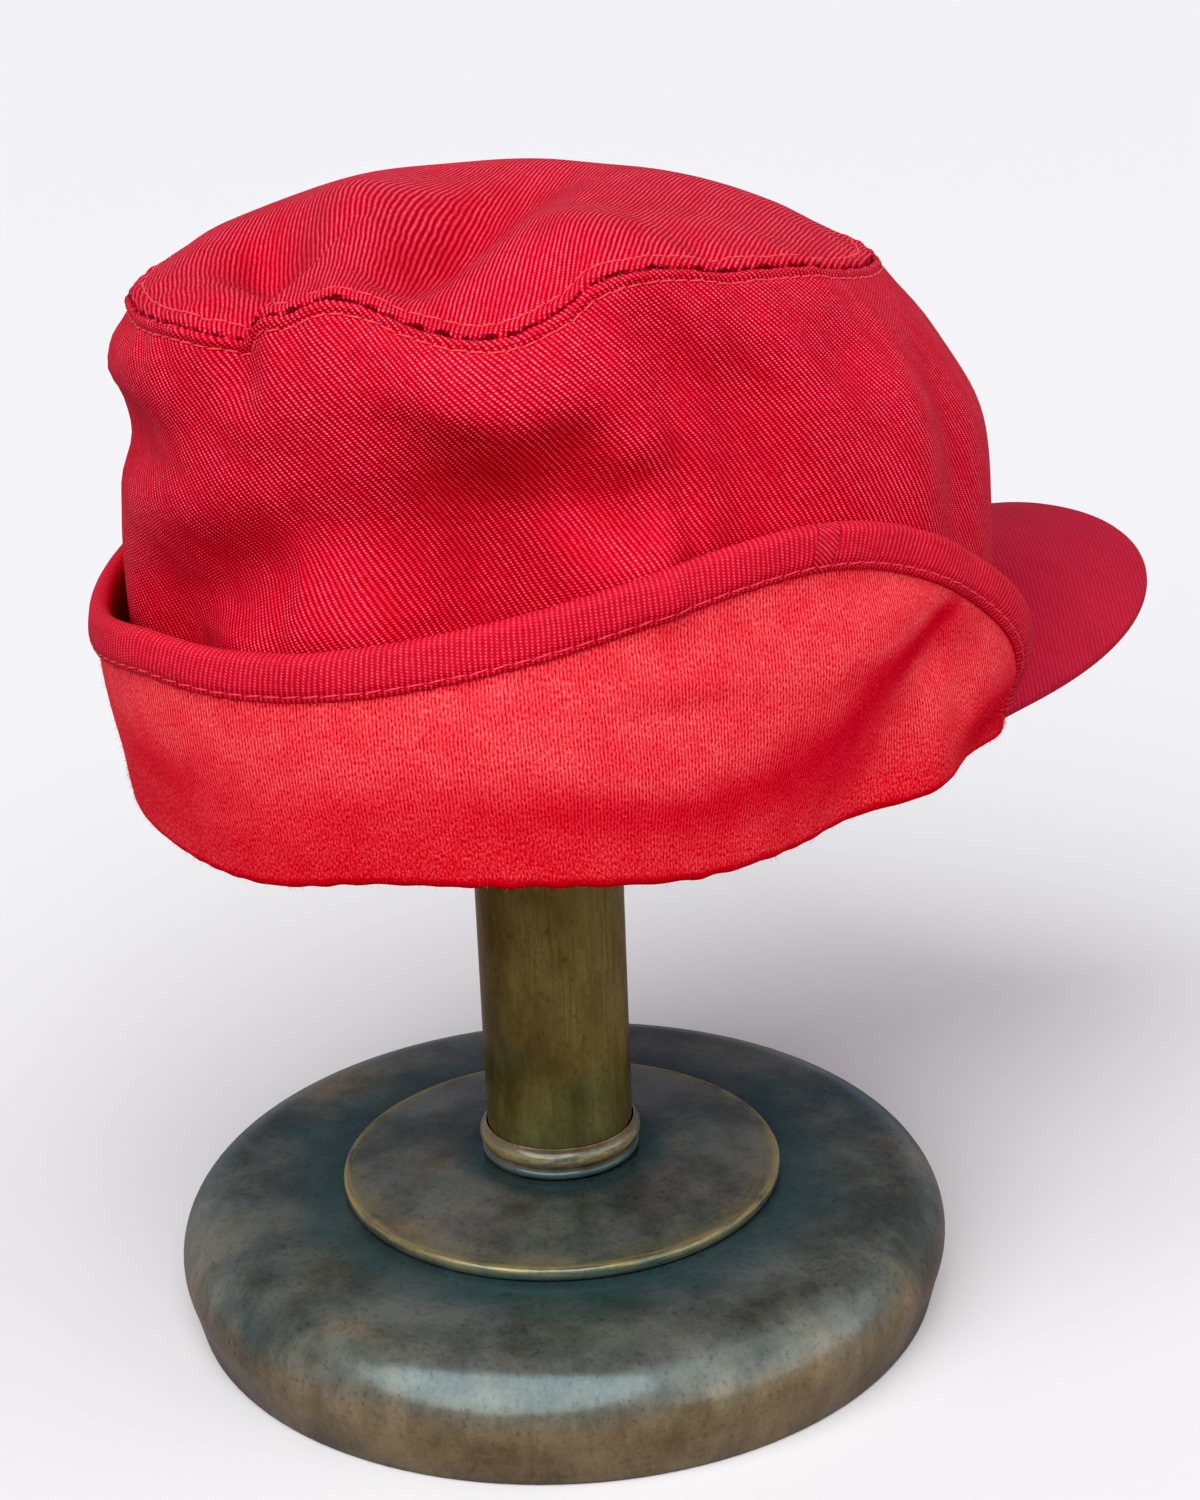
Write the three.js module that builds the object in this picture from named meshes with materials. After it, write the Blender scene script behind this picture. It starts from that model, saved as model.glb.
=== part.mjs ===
// Soft earflap cap with the flap turned up, resting on a turned hat stand.
// Millimetres, +Z up. The stand's foot is on z = 0 about the Z axis, and the cap faces -Y.
// Bearings run round the cap in degrees: 0 front, 90 the wearer's right, 180 back, 270 the wearer's left.
import * as THREE from "three";

// Clearance between neighbouring pieces
const GAP = 0.3;

// Stand
const TURN_SEGMENTS = 40;
const BASE_RADIUS = 90;
const BASE_FOOT_RADIUS = 87;
const BASE_HEIGHT = 26.7;
const BASE_SHOULDER = 13;
const BASE_UNDERCUT = 20;
const DISC_RADIUS = 51.5;
const DISC_HEIGHT = 3;
const DISC_CROWN = 3;
const DISC_CHAMFER = 0.8;
const POST_RADIUS = 17;
const COLLAR_LIP = 1.2;
const COLLAR_BEAD = 2.6;
const COLLAR_BEAD_INSET = 1.2;
const HEAD_RADIUS = 46;
const HEAD_RISE = 22;
const HEAD_EDGE = 5;

// Crown
const CROWN_COLUMNS = 64;
const WALL_ROWS = 10;
const TOP_ROWS = 8;
const TWILL = 1.2;
const CROWN_FOOT = 138;
const SEAM_HEIGHT = 239;
const TOP_SWELL = 17;
const TOP_FULLNESS = 2.2;
const SHOULDER_TURN = 55;
const SHOULDER_START = 0.6;
const SHOULDER_END = 0.4;
const SEAM_FADE = 0.6;
const FOLD_FADE = 0.35;

// Peak
const PEAK_COLUMNS = 20;
const PEAK_ROWS = 5;
const PEAK_THICKNESS = 2.6;
const PEAK_BEARING = 46;
const PEAK_REACH = 70;
const PEAK_FULLNESS = 2;
const PEAK_ROUNDNESS = 0.75;
const PEAK_FAN = 20;
const PEAK_CREST = 156;
const PEAK_DROP = 23;
const PEAK_HALF_WIDTH = 66;
const PEAK_CAMBER = 1.8;
const PEAK_SLOPE = 0.03;

// Earflap
const FLAP_COLUMNS = 44;
const FLAP_SHELL = 1;
const FLAP_LINING = 1.6;
const FLAP_GAP = 0.4;
const FLAP_BELLY = 1.6;
const FLAP_MIN_HEIGHT = 0.5;
const FLAP_END_BLEND = 0.2;
const HEM_WIDTH = 10;
const HEM_TUCK = 4;
const LINING_RETURN = 14;
const LINING_LEG_ROWS = 5;
const LINING_FOLD_ROWS = 4;
const SHELL_LEG_ROWS = 3;
const SHELL_WRAP_ROWS = 3;

// Level sections of the crown wall, from its lower edge (rise 0) to the top seam (rise 1).
const WALL_SECTIONS = [
  { rise: 0.0, halfLength: 99.5, halfWidth: 83.5, forward: 10 },
  { rise: 0.4, halfLength: 100.5, halfWidth: 82, forward: 9.5 },
  { rise: 0.66, halfLength: 98.5, halfWidth: 80.5, forward: 8.5 },
  { rise: 0.84, halfLength: 94, halfWidth: 77.5, forward: 3 },
  { rise: 1.0, halfLength: 85, halfWidth: 70, forward: -5.5 },
];

// How far the top seam stands above its mean height, round the crown.
const SEAM_WAVES = [
  { bearing: 0, lift: -1 },
  { bearing: 40, lift: -2 },
  { bearing: 62, lift: -2 },
  { bearing: 80, lift: 2.5 },
  { bearing: 97, lift: 6.5 },
  { bearing: 109, lift: 4.5 },
  { bearing: 117, lift: -1 },
  { bearing: 123, lift: -3.5 },
  { bearing: 131, lift: -1 },
  { bearing: 138, lift: 1.5 },
  { bearing: 147, lift: 6 },
  { bearing: 153, lift: 4 },
  { bearing: 160, lift: -0.5 },
  { bearing: 168, lift: 1 },
  { bearing: 185, lift: 4 },
  { bearing: 220, lift: 0 },
  { bearing: 260, lift: 3 },
  { bearing: 310, lift: -1 },
];

// Dents of the crown wall; a negative depth is a bulge.
const WALL_DENTS = [
  { bearing: 205, rise: 1.0, depth: 7, spread: 17, tall: 0.05 },
  { bearing: 200, rise: 0.89, depth: -1.5, spread: 14, tall: 0.05 },
  { bearing: 200, rise: 0.75, depth: 5.5, spread: 16, tall: 0.08 },
  { bearing: 165, rise: 0.88, depth: 4, spread: 5, tall: 0.1 },
  { bearing: 148, rise: 0.84, depth: -2.5, spread: 8, tall: 0.08 },
  { bearing: 130, rise: 0.66, depth: 7, spread: 10, tall: 0.08 },
  { bearing: 111, rise: 0.63, depth: 4, spread: 5, tall: 0.07 },
  { bearing: 170, rise: 0.5, depth: 4, spread: 10, tall: 0.07 },
  { bearing: 91, rise: 0.84, depth: -2, spread: 5, tall: 0.1 },
  { bearing: 79, rise: 0.78, depth: 2, spread: 5, tall: 0.12 },
  { bearing: 68, rise: 0.84, depth: -2, spread: 6, tall: 0.1 },
  { bearing: 232, rise: 0.72, depth: 5, spread: 12, tall: 0.1 },
  { bearing: 275, rise: 0.78, depth: 4, spread: 9, tall: 0.1 },
  { bearing: 318, rise: 0.74, depth: 3, spread: 10, tall: 0.12 },
];

// Hills and valleys of the top panel, placed forward and to the wearer's right of the stand's axis.
const TOP_FOLDS = [
  { forward: -22, right: 16, lift: 5, long: 26, wide: 14, turn: 35 },
  { forward: 8, right: -44, lift: 4.5, long: 22, wide: 14, turn: 20 },
  { forward: -42, right: -38, lift: 5, long: 18, wide: 16, turn: 0 },
  { forward: -22, right: -20, lift: -7, long: 26, wide: 9, turn: 30 },
  { forward: -66, right: -6, lift: -6, long: 18, wide: 8, turn: 55 },
  { forward: -30, right: 42, lift: -5, long: 26, wide: 7, turn: -30 },
  { forward: 44, right: 4, lift: 3, long: 24, wide: 26, turn: 0 },
];

// Free edge of the turned-up earflap, from its front end to the middle of the back.
const FLAP_EDGE = [
  { bearing: 47, height: 1 },
  { bearing: 48.5, height: 14 },
  { bearing: 53, height: 28 },
  { bearing: 61, height: 40 },
  { bearing: 72, height: 50 },
  { bearing: 84, height: 56.5 },
  { bearing: 98, height: 59 },
  { bearing: 112, height: 58 },
  { bearing: 128, height: 53 },
  { bearing: 146, height: 49 },
  { bearing: 164, height: 47 },
  { bearing: 180, height: 47 },
];

// How the turned-up flap lies round the cap: its free edge leans off the crown and has dropped in places.
const FLAP_LIE = [
  { bearing: 0, lean: 5, drop: 0 },
  { bearing: 50, lean: 6, drop: 0 },
  { bearing: 70, lean: 2, drop: 0 },
  { bearing: 100, lean: 0.5, drop: 0 },
  { bearing: 140, lean: 0.8, drop: 0 },
  { bearing: 165, lean: 3, drop: 0 },
  { bearing: 188, lean: 4, drop: 1.5 },
  { bearing: 208, lean: 1.2, drop: 6 },
  { bearing: 235, lean: 1, drop: 7 },
  { bearing: 270, lean: 0.5, drop: 3 },
  { bearing: 310, lean: 4, drop: 0 },
];

const clamp = THREE.MathUtils.clamp;
const lerp = THREE.MathUtils.lerp;
const radians = THREE.MathUtils.degToRad;
const smoothstep = THREE.MathUtils.smoothstep;

// Smooth curve through one column of a table, read at a place on its key column; a period closes the curve.
function tableCurve(rows, key, value, at, period = 0) {
  const count = rows.length;
  const row = (i) => rows[((i % count) + count) % count];
  const place = (i) => row(i)[key] + period * Math.floor(i / count);
  const entry = (i) => row(i)[value];
  const within = (i) => (period ? i : clamp(i, 0, count - 1));
  const spot = period ? THREE.MathUtils.euclideanModulo(at, period) : at;
  const last = period ? count - 1 : count - 2;
  let start = 0;
  while (start < last && spot > place(start + 1)) start += 1;
  const width = place(start + 1) - place(start);
  const t = clamp((spot - place(start)) / width, 0, 1);
  const slope = (i) => {
    const before = within(i - 1);
    const after = within(i + 1);
    return ((entry(after) - entry(before)) / (place(after) - place(before))) * width;
  };
  const ease = t * t * (3 - 2 * t);
  const leave = t * (1 - t) * (1 - t);
  const arrive = t * t * (t - 1);
  return lerp(entry(start), entry(start + 1), ease) + leave * slope(start) + arrive * slope(start + 1);
}

function bump(along, across) {
  return Math.exp(-(along * along + across * across) / 2);
}

// Turn from one bearing to another, between -180 and 180.
function bearingTurn(from, to) {
  return THREE.MathUtils.euclideanModulo(to - from + 180, 360) - 180;
}

// Closed body from two matching grids of points, an outer and an inner face, joined round their borders.
// A grid that wraps meets itself round the cap, and a row that shrinks to one point closes as a pole.
function wallGeometry(columns, rows, wraps, outerPoint, innerPoint) {
  const positions = [];
  const indices = [];
  const known = new Map();
  const vertex = (point) => {
    const name = point.toArray().map((value) => value.toFixed(4)).join(" ");
    if (!known.has(name)) {
      known.set(name, positions.length / 3);
      positions.push(point.x, point.y, point.z);
    }
    return known.get(name);
  };
  const grid = (pointAt) => {
    const lines = [];
    for (let i = 0; i <= columns; i += 1) {
      const around = (wraps ? i % columns : i) / columns;
      const line = [];
      for (let j = 0; j <= rows; j += 1) line.push(vertex(pointAt(around, j / rows)));
      lines.push(line);
    }
    return lines;
  };
  const triangle = (a, b, c) => {
    if (a !== b && b !== c && c !== a) indices.push(a, b, c);
  };
  const quad = (a, b, c, d) => {
    triangle(a, b, c);
    triangle(a, c, d);
  };
  const outer = grid(outerPoint);
  const inner = grid(innerPoint);
  for (let i = 0; i < columns; i += 1) {
    for (let j = 0; j < rows; j += 1) {
      quad(outer[i][j], outer[i][j + 1], outer[i + 1][j + 1], outer[i + 1][j]);
      quad(inner[i][j], inner[i + 1][j], inner[i + 1][j + 1], inner[i][j + 1]);
    }
    quad(outer[i][0], outer[i + 1][0], inner[i + 1][0], inner[i][0]);
    quad(outer[i + 1][rows], outer[i][rows], inner[i][rows], inner[i + 1][rows]);
  }
  for (let j = 0; j < rows && !wraps; j += 1) {
    quad(outer[0][j + 1], outer[0][j], inner[0][j], inner[0][j + 1]);
    quad(outer[columns][j], outer[columns][j + 1], inner[columns][j + 1], inner[columns][j]);
  }
  const geometry = new THREE.BufferGeometry();
  geometry.setAttribute("position", new THREE.Float32BufferAttribute(positions, 3));
  geometry.setIndex(indices);
  return geometry;
}

// Crown

// Point of the undented crown at a bearing and height, moved outwards square to its level outline.
function smoothCrown(bearing, height, outwards) {
  const rise = clamp((height - CROWN_FOOT) / (SEAM_HEIGHT - CROWN_FOOT), 0, 1);
  const halfLength = tableCurve(WALL_SECTIONS, "rise", "halfLength", rise);
  const halfWidth = tableCurve(WALL_SECTIONS, "rise", "halfWidth", rise);
  const forward = tableCurve(WALL_SECTIONS, "rise", "forward", rise);
  const sine = Math.sin(radians(bearing));
  const cosine = Math.cos(radians(bearing));
  const square = new THREE.Vector2(-halfLength * sine, -halfWidth * cosine).normalize();
  const x = -halfWidth * sine + square.x * outwards;
  const y = -halfLength * cosine - forward + square.y * outwards;
  return new THREE.Vector3(x, y, height);
}

// Height of the peak's upper face at a distance to the side and a reach in front of the crown.
function peakHeight(aside, reach) {
  return PEAK_CREST - PEAK_DROP * (Math.abs(aside) / PEAK_HALF_WIDTH) ** PEAK_CAMBER - PEAK_SLOPE * reach;
}

// The crown's lower edge is level, and arches over the peak at the front.
function crownFoot(bearing) {
  const aside = WALL_SECTIONS[0].halfWidth * Math.sin(radians(bearing));
  const isFront = Math.cos(radians(bearing)) > 0;
  return isFront ? Math.max(CROWN_FOOT, peakHeight(aside, 0) - PEAK_THICKNESS) : CROWN_FOOT;
}

function seamHeight(bearing) {
  return SEAM_HEIGHT + tableCurve(SEAM_WAVES, "bearing", "lift", bearing, 360);
}

function wallDent(bearing, rise) {
  let depth = 0;
  for (const dent of WALL_DENTS) {
    const across = bearingTurn(dent.bearing, bearing) / dent.spread;
    depth += dent.depth * bump(across, (rise - dent.rise) / dent.tall);
  }
  return depth;
}

// Outer face of the crown wall; up runs from its lower edge (0) to the top seam (1).
function wallOuter(around, up) {
  const bearing = 360 * around;
  const foot = crownFoot(bearing);
  const level = lerp(foot, SEAM_HEIGHT, up);
  const rise = (level - CROWN_FOOT) / (SEAM_HEIGHT - CROWN_FOOT);
  const point = smoothCrown(bearing, level, -wallDent(bearing, rise));
  point.z = lerp(foot, seamHeight(bearing), up);
  return point;
}

// Direction into the cloth: level on the wall, turned down over the shoulder towards the middle of the top.
function inwards(bearing, downTurn) {
  const level = smoothCrown(bearing, SEAM_HEIGHT, 0).sub(smoothCrown(bearing, SEAM_HEIGHT, 1));
  level.multiplyScalar(Math.cos(radians(downTurn)));
  level.z = -Math.sin(radians(downTurn));
  return level;
}

function wallInner(around, up) {
  const turn = SHOULDER_TURN * smoothstep(up, SHOULDER_START, 1);
  return wallOuter(around, up).addScaledVector(inwards(360 * around, turn), TWILL);
}

function topFold(x, y) {
  let lift = 0;
  for (const fold of TOP_FOLDS) {
    const right = -x - fold.right;
    const forward = -y - fold.forward;
    const cosine = Math.cos(radians(fold.turn));
    const sine = Math.sin(radians(fold.turn));
    const along = (forward * cosine + right * sine) / fold.long;
    const across = (right * cosine - forward * sine) / fold.wide;
    lift += fold.lift * bump(along, across);
  }
  return lift;
}

// Outer face of the top panel; into runs from the seam (0) to the middle (1).
function topOuter(around, into) {
  const seam = wallOuter(around, 1);
  const uphill = inwards(360 * around, SHOULDER_TURN - 90);
  seam.addScaledVector(uphill, GAP);
  const middle = new THREE.Vector3(0, -WALL_SECTIONS[WALL_SECTIONS.length - 1].forward, SEAM_HEIGHT);
  const point = seam.clone().lerp(middle, into);
  point.z = lerp(seam.z, SEAM_HEIGHT, smoothstep(into, 0, SEAM_FADE));
  point.z += TOP_SWELL * (1 - (1 - into) ** TOP_FULLNESS);
  point.z += topFold(point.x, point.y) * smoothstep(into, 0, FOLD_FADE);
  return point;
}

function topInner(around, into) {
  const turn = lerp(SHOULDER_TURN, 90, smoothstep(into, 0, SHOULDER_END));
  return topOuter(around, into).addScaledVector(inwards(360 * around, turn), TWILL);
}

// Earflap, laid out flat as a bearing and a height above the crown's lower edge

const MM_PER_DEGREE = (Math.PI * (WALL_SECTIONS[0].halfLength + WALL_SECTIONS[0].halfWidth)) / 360;
const BACK_HEIGHT = FLAP_EDGE[FLAP_EDGE.length - 1].height;
const HALF_EDGE = new THREE.SplineCurve(
  FLAP_EDGE.map((row) => new THREE.Vector2(row.bearing * MM_PER_DEGREE, row.height)),
);

// Line drawn in from the free edge by some distance; along runs from the right end (0) to the left end (1).
function flapEdge(along, drawnIn) {
  const isRight = along <= 0.5;
  const share = isRight ? 2 * along : 2 - 2 * along;
  const spot = HALF_EDGE.getPointAt(share);
  const tangent = HALF_EDGE.getTangentAt(share);
  const turn = (spot.x + tangent.y * drawnIn) / MM_PER_DEGREE;
  const bearing = isRight ? turn : 360 - turn;
  const drop = tableCurve(FLAP_LIE, "bearing", "drop", bearing, 360);
  return { bearing, height: Math.max(spot.y - tangent.x * drawnIn - drop, FLAP_MIN_HEIGHT) };
}

// Bearing of the flap's bottom under a drawn-in line; the lines gather towards the flap's front ends.
function flapBottom(along, drawnIn) {
  const end = flapEdge(along <= 0.5 ? 0 : 1, drawnIn);
  const blend = smoothstep(Math.min(along, 1 - along), 0, FLAP_END_BLEND);
  return lerp(end.bearing, flapEdge(along, drawnIn).bearing, blend);
}

// Point of the flap at a share of the way from its bottom (0) to a drawn-in line (1), standing off the crown.
function flapPoint(along, share, drawnIn, standOff) {
  const edge = flapEdge(along, drawnIn);
  const bearing = lerp(flapBottom(along, drawnIn), edge.bearing, share);
  const height = edge.height * share;
  const lean = tableCurve(FLAP_LIE, "bearing", "lean", bearing, 360) * (height / BACK_HEIGHT);
  const belly = FLAP_BELLY * Math.sin(Math.PI * Math.min(height / BACK_HEIGHT, 1));
  return smoothCrown(bearing, CROWN_FOOT + height, standOff + lean + belly);
}

const SHELL_IN = FLAP_GAP;
const LINING_OUT = SHELL_IN + FLAP_SHELL + FLAP_GAP + FLAP_LINING;
const LINING_IN = -(TWILL + FLAP_GAP + FLAP_LINING);
const SHELL_OUT = LINING_OUT + FLAP_GAP + FLAP_SHELL;

// Lining: from inside the crown down, round the bottom fold and up the outside to under the hem.
const LINING_ROWS = 1 + LINING_FOLD_ROWS + LINING_LEG_ROWS;

function liningPoint(along, path, depth) {
  const row = Math.round(path * LINING_ROWS);
  if (row === 0) {
    return smoothCrown(flapBottom(along, HEM_TUCK), CROWN_FOOT + LINING_RETURN, LINING_IN + depth);
  }
  if (row <= 1 + LINING_FOLD_ROWS) {
    const radius = (LINING_OUT - LINING_IN) / 2 - depth;
    const turn = (Math.PI * (row - 1)) / LINING_FOLD_ROWS;
    const point = flapPoint(along, 0, HEM_TUCK, (LINING_OUT + LINING_IN) / 2 - radius * Math.cos(turn));
    point.z -= radius * Math.sin(turn);
    return point;
  }
  return flapPoint(along, (row - 1 - LINING_FOLD_ROWS) / LINING_LEG_ROWS, HEM_TUCK, LINING_OUT - depth);
}

// Shell: up the outside of the crown, over the free edge and down as the hem.
const SHELL_ROWS = SHELL_LEG_ROWS + SHELL_WRAP_ROWS + 1;

function shellPoint(along, path, depth) {
  const row = Math.round(path * SHELL_ROWS);
  const wrap = (SHELL_OUT - SHELL_IN) / 2;
  if (row <= SHELL_LEG_ROWS) {
    return flapPoint(along, row / SHELL_LEG_ROWS, wrap, SHELL_IN + depth);
  }
  if (row <= SHELL_LEG_ROWS + SHELL_WRAP_ROWS) {
    const turn = (Math.PI * (row - SHELL_LEG_ROWS)) / SHELL_WRAP_ROWS;
    const over = (wrap - depth) * Math.sin(turn);
    return flapPoint(along, 1, wrap - over, SHELL_IN + wrap - (wrap - depth) * Math.cos(turn));
  }
  return flapPoint(along, 1, HEM_WIDTH, SHELL_OUT - depth);
}

// Peak: across runs from the right corner (0) to the left (1), and out from the crown to the rim.

function peakUpper(across, out) {
  const side = 1 - 2 * across;
  const foot = smoothCrown(PEAK_BEARING * side, CROWN_FOOT, GAP);
  const root = smoothCrown(PEAK_BEARING * side, peakHeight(foot.x, 0), GAP);
  const reach = PEAK_REACH * (1 - Math.abs(side) ** PEAK_FULLNESS) ** PEAK_ROUNDNESS * out;
  const fan = radians(PEAK_FAN * side);
  const x = root.x - reach * Math.sin(fan);
  return new THREE.Vector3(x, root.y - reach * Math.cos(fan), peakHeight(x, reach));
}

function peakLower(across, out) {
  const point = peakUpper(across, out);
  point.z -= PEAK_THICKNESS;
  return point;
}

// Stand, turned about the Z axis

function turned(profile) {
  const points = profile.map(([radius, height]) => new THREE.Vector2(radius, height));
  return new THREE.LatheGeometry(points, TURN_SEGMENTS).rotateX(Math.PI / 2);
}

function arc(centreRadius, centreHeight, radius, fromDegrees, toDegrees, steps) {
  const points = [];
  for (let i = 0; i <= steps; i += 1) {
    const turn = radians(lerp(fromDegrees, toDegrees, i / steps));
    points.push([centreRadius + radius * Math.cos(turn), centreHeight + radius * Math.sin(turn)]);
  }
  return points;
}

// Highest dome top that keeps a clearance under the top panel.
function headSeat(ball) {
  let seat = Infinity;
  for (let i = 0; i < CROWN_COLUMNS; i += 1) {
    for (let j = 0; j <= TOP_ROWS; j += 1) {
      const under = topInner(i / CROWN_COLUMNS, j / TOP_ROWS);
      const away = Math.min(Math.hypot(under.x, under.y), HEAD_RADIUS);
      seat = Math.min(seat, under.z + ball - Math.sqrt(ball * ball - away * away));
    }
  }
  return seat - GAP;
}

const discFoot = BASE_HEIGHT + GAP;
const discEdge = discFoot + DISC_HEIGHT;
const discCrown = discEdge + DISC_CROWN;
const collarFoot = discCrown + GAP;
const collarBore = POST_RADIUS + GAP;
const collarTop = collarFoot + 2 * COLLAR_LIP + 2 * COLLAR_BEAD;
const headBall = (HEAD_RADIUS * HEAD_RADIUS + HEAD_RISE * HEAD_RISE) / (2 * HEAD_RISE);
const headSweep = THREE.MathUtils.radToDeg(Math.asin(HEAD_RADIUS / headBall));
const headTop = headSeat(headBall);
const headFoot = headTop - HEAD_RISE - HEAD_EDGE;

const baseProfile = [
  [0, 0],
  [BASE_FOOT_RADIUS, 0],
  ...arc(BASE_RADIUS - BASE_SHOULDER, BASE_HEIGHT - BASE_SHOULDER, BASE_SHOULDER, -BASE_UNDERCUT, 90, 7),
  [0, BASE_HEIGHT],
];
const discProfile = [
  [0, discFoot],
  [DISC_RADIUS, discFoot],
  [DISC_RADIUS, discEdge - DISC_CHAMFER],
  [DISC_RADIUS - DISC_CHAMFER, discEdge],
  [collarBore + COLLAR_BEAD, discCrown],
  [0, discCrown],
];
const collarProfile = [
  [collarBore, collarFoot],
  ...arc(collarBore, collarFoot + COLLAR_LIP, COLLAR_LIP, -60, 60, 3),
  ...arc(collarBore - COLLAR_BEAD_INSET, collarTop - COLLAR_BEAD, COLLAR_BEAD, -60, 60, 5),
  [collarBore, collarTop],
  [collarBore, collarFoot],
];
const postProfile = [
  [0, collarFoot],
  [POST_RADIUS, collarFoot],
  [POST_RADIUS, headFoot - GAP],
  [0, headFoot - GAP],
];
const headProfile = [
  [0, headFoot],
  [HEAD_RADIUS, headFoot],
  ...arc(0, headTop - headBall, headBall, 90 - headSweep, 90, 7).slice(0, -1),
  [0, headTop],
];

// Assembly

const BRONZE = { color: 0x4b4a40, roughness: 0.45, metalness: 0.9 };
const TWILL_RED = { color: 0xc8203a, roughness: 0.9, metalness: 0 };
const LINING_RED = { color: 0xe83a48, roughness: 0.95, metalness: 0 };

const group = new THREE.Group();
group.name = "earflap_cap_on_stand";

function addPiece(name, geometry, finish) {
  const mesh = new THREE.Mesh(geometry, new THREE.MeshStandardMaterial(finish));
  mesh.name = name;
  group.add(mesh);
}

const shellFace = (along, path) => shellPoint(along, path, FLAP_SHELL);
const shellBack = (along, path) => shellPoint(along, path, 0);
const liningFace = (along, path) => liningPoint(along, path, 0);
const liningBack = (along, path) => liningPoint(along, path, FLAP_LINING);

addPiece("stand_base", turned(baseProfile), BRONZE);
addPiece("stand_disc", turned(discProfile), BRONZE);
addPiece("stand_collar", turned(collarProfile), BRONZE);
addPiece("stand_post", turned(postProfile), BRONZE);
addPiece("stand_head", turned(headProfile), BRONZE);
addPiece("crown_side", wallGeometry(CROWN_COLUMNS, WALL_ROWS, true, wallOuter, wallInner), TWILL_RED);
addPiece("crown_top", wallGeometry(CROWN_COLUMNS, TOP_ROWS, true, topOuter, topInner), TWILL_RED);
addPiece("earflap_shell", wallGeometry(FLAP_COLUMNS, SHELL_ROWS, false, shellFace, shellBack), TWILL_RED);
addPiece("earflap_lining", wallGeometry(FLAP_COLUMNS, LINING_ROWS, false, liningFace, liningBack), LINING_RED);
addPiece("peak", wallGeometry(PEAK_COLUMNS, PEAK_ROWS, false, peakUpper, peakLower), TWILL_RED);

export default group;
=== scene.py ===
# %% [markdown]
# # A red earflap cap on a bronze hat stand
# The CAD solids fix the size and the place of every piece. This lesson dresses them: the stand is turned
# again with finer steps, each piece of cloth starts as a flat pattern sheet that is bent into its sewn
# place, and every surface gets a material made of nodes.

# %% Load the fixed frame
import math
import bpy
import numpy as np
from mathutils import Matrix, Vector


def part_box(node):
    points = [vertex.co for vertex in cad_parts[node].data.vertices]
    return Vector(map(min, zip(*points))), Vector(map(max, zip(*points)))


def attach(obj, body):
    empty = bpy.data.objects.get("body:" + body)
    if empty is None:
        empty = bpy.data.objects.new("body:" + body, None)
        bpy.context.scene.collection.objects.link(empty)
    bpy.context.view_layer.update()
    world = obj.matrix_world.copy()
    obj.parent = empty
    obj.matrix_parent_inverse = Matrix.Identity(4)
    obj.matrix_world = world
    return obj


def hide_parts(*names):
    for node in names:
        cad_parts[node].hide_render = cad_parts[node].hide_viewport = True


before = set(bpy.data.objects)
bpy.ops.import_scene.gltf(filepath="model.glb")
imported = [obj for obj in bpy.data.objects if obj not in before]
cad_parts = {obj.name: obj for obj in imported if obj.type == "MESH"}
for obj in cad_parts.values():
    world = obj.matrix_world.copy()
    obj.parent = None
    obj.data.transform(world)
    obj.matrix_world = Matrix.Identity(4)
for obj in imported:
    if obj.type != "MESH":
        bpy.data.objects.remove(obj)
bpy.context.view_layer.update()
MM = 0.001

# %% [markdown]
# ## Camera, floor and light
# A view is matched first. The cap is seen from behind its right side, a little from above, with a normal
# lens and a slight roll. The camera's axes are written out as a matrix, since three fitted turns are easier
# to keep exact that way than with a target.

# %% Camera at the viewing angle
EYE = Vector((-0.4043, 0.3392, 0.3138))
VIEW_BEARING = math.radians(130)
PAN = math.radians(1.38)
PITCH = math.radians(19.1)
ROLL = math.radians(2.21)
ahead = Vector((math.sin(VIEW_BEARING), math.cos(VIEW_BEARING), 0))
side = ahead.cross(Vector((0, 0, 1)))
look = side * math.sin(PAN) * math.cos(PITCH) + ahead * math.cos(PAN) * math.cos(PITCH)
look.z = -math.sin(PITCH)
right = side * math.cos(PAN) - ahead * math.sin(PAN)
down = look.cross(right)
rolled_right = right * math.cos(ROLL) + down * math.sin(ROLL)
rolled_down = down * math.cos(ROLL) - right * math.sin(ROLL)
bpy.ops.object.select_all(action="DESELECT")
bpy.ops.object.camera_add()
camera = bpy.context.object
axes = Matrix((rolled_right, -rolled_down, -look)).transposed().to_4x4()
camera.matrix_world = Matrix.Translation(EYE) @ axes
camera.data.lens = 60
camera.data.sensor_width = 36
bpy.context.scene.camera = camera
print("camera stands", round(EYE.length, 3), "m from the stand's foot")

# %% [markdown]
# The floor is one plain pale sheet. Pale light thrown up from it would wash out the underside of the cap,
# so only the camera sees the pale tone, and bounced light meets a darker one.

# %% Pale floor
FLOOR_SEEN = (0.8, 0.765, 0.755, 1)
FLOOR_BOUNCED = (0.3, 0.26, 0.27, 1)
bpy.ops.mesh.primitive_plane_add(size=40)
floor = bpy.context.object
floor.name = "floor"
floor_paint = bpy.data.materials.new("pale_floor")
floor_paint.use_nodes = True
floor_nodes = floor_paint.node_tree.nodes
floor_links = floor_paint.node_tree.links
floor_shader = floor_nodes["Principled BSDF"]
floor_tone = floor_nodes.new("ShaderNodeMix")
floor_tone.data_type = "RGBA"
floor_tone.inputs[6].default_value = FLOOR_BOUNCED
floor_tone.inputs[7].default_value = FLOOR_SEEN
seen_by = floor_nodes.new("ShaderNodeLightPath")
floor_links.new(seen_by.outputs["Is Camera Ray"], floor_tone.inputs[0])
floor_links.new(floor_tone.outputs[2], floor_shader.inputs["Base Color"])
floor_shader.inputs["Roughness"].default_value = 0.8
floor.data.materials.append(floor_paint)
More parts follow.
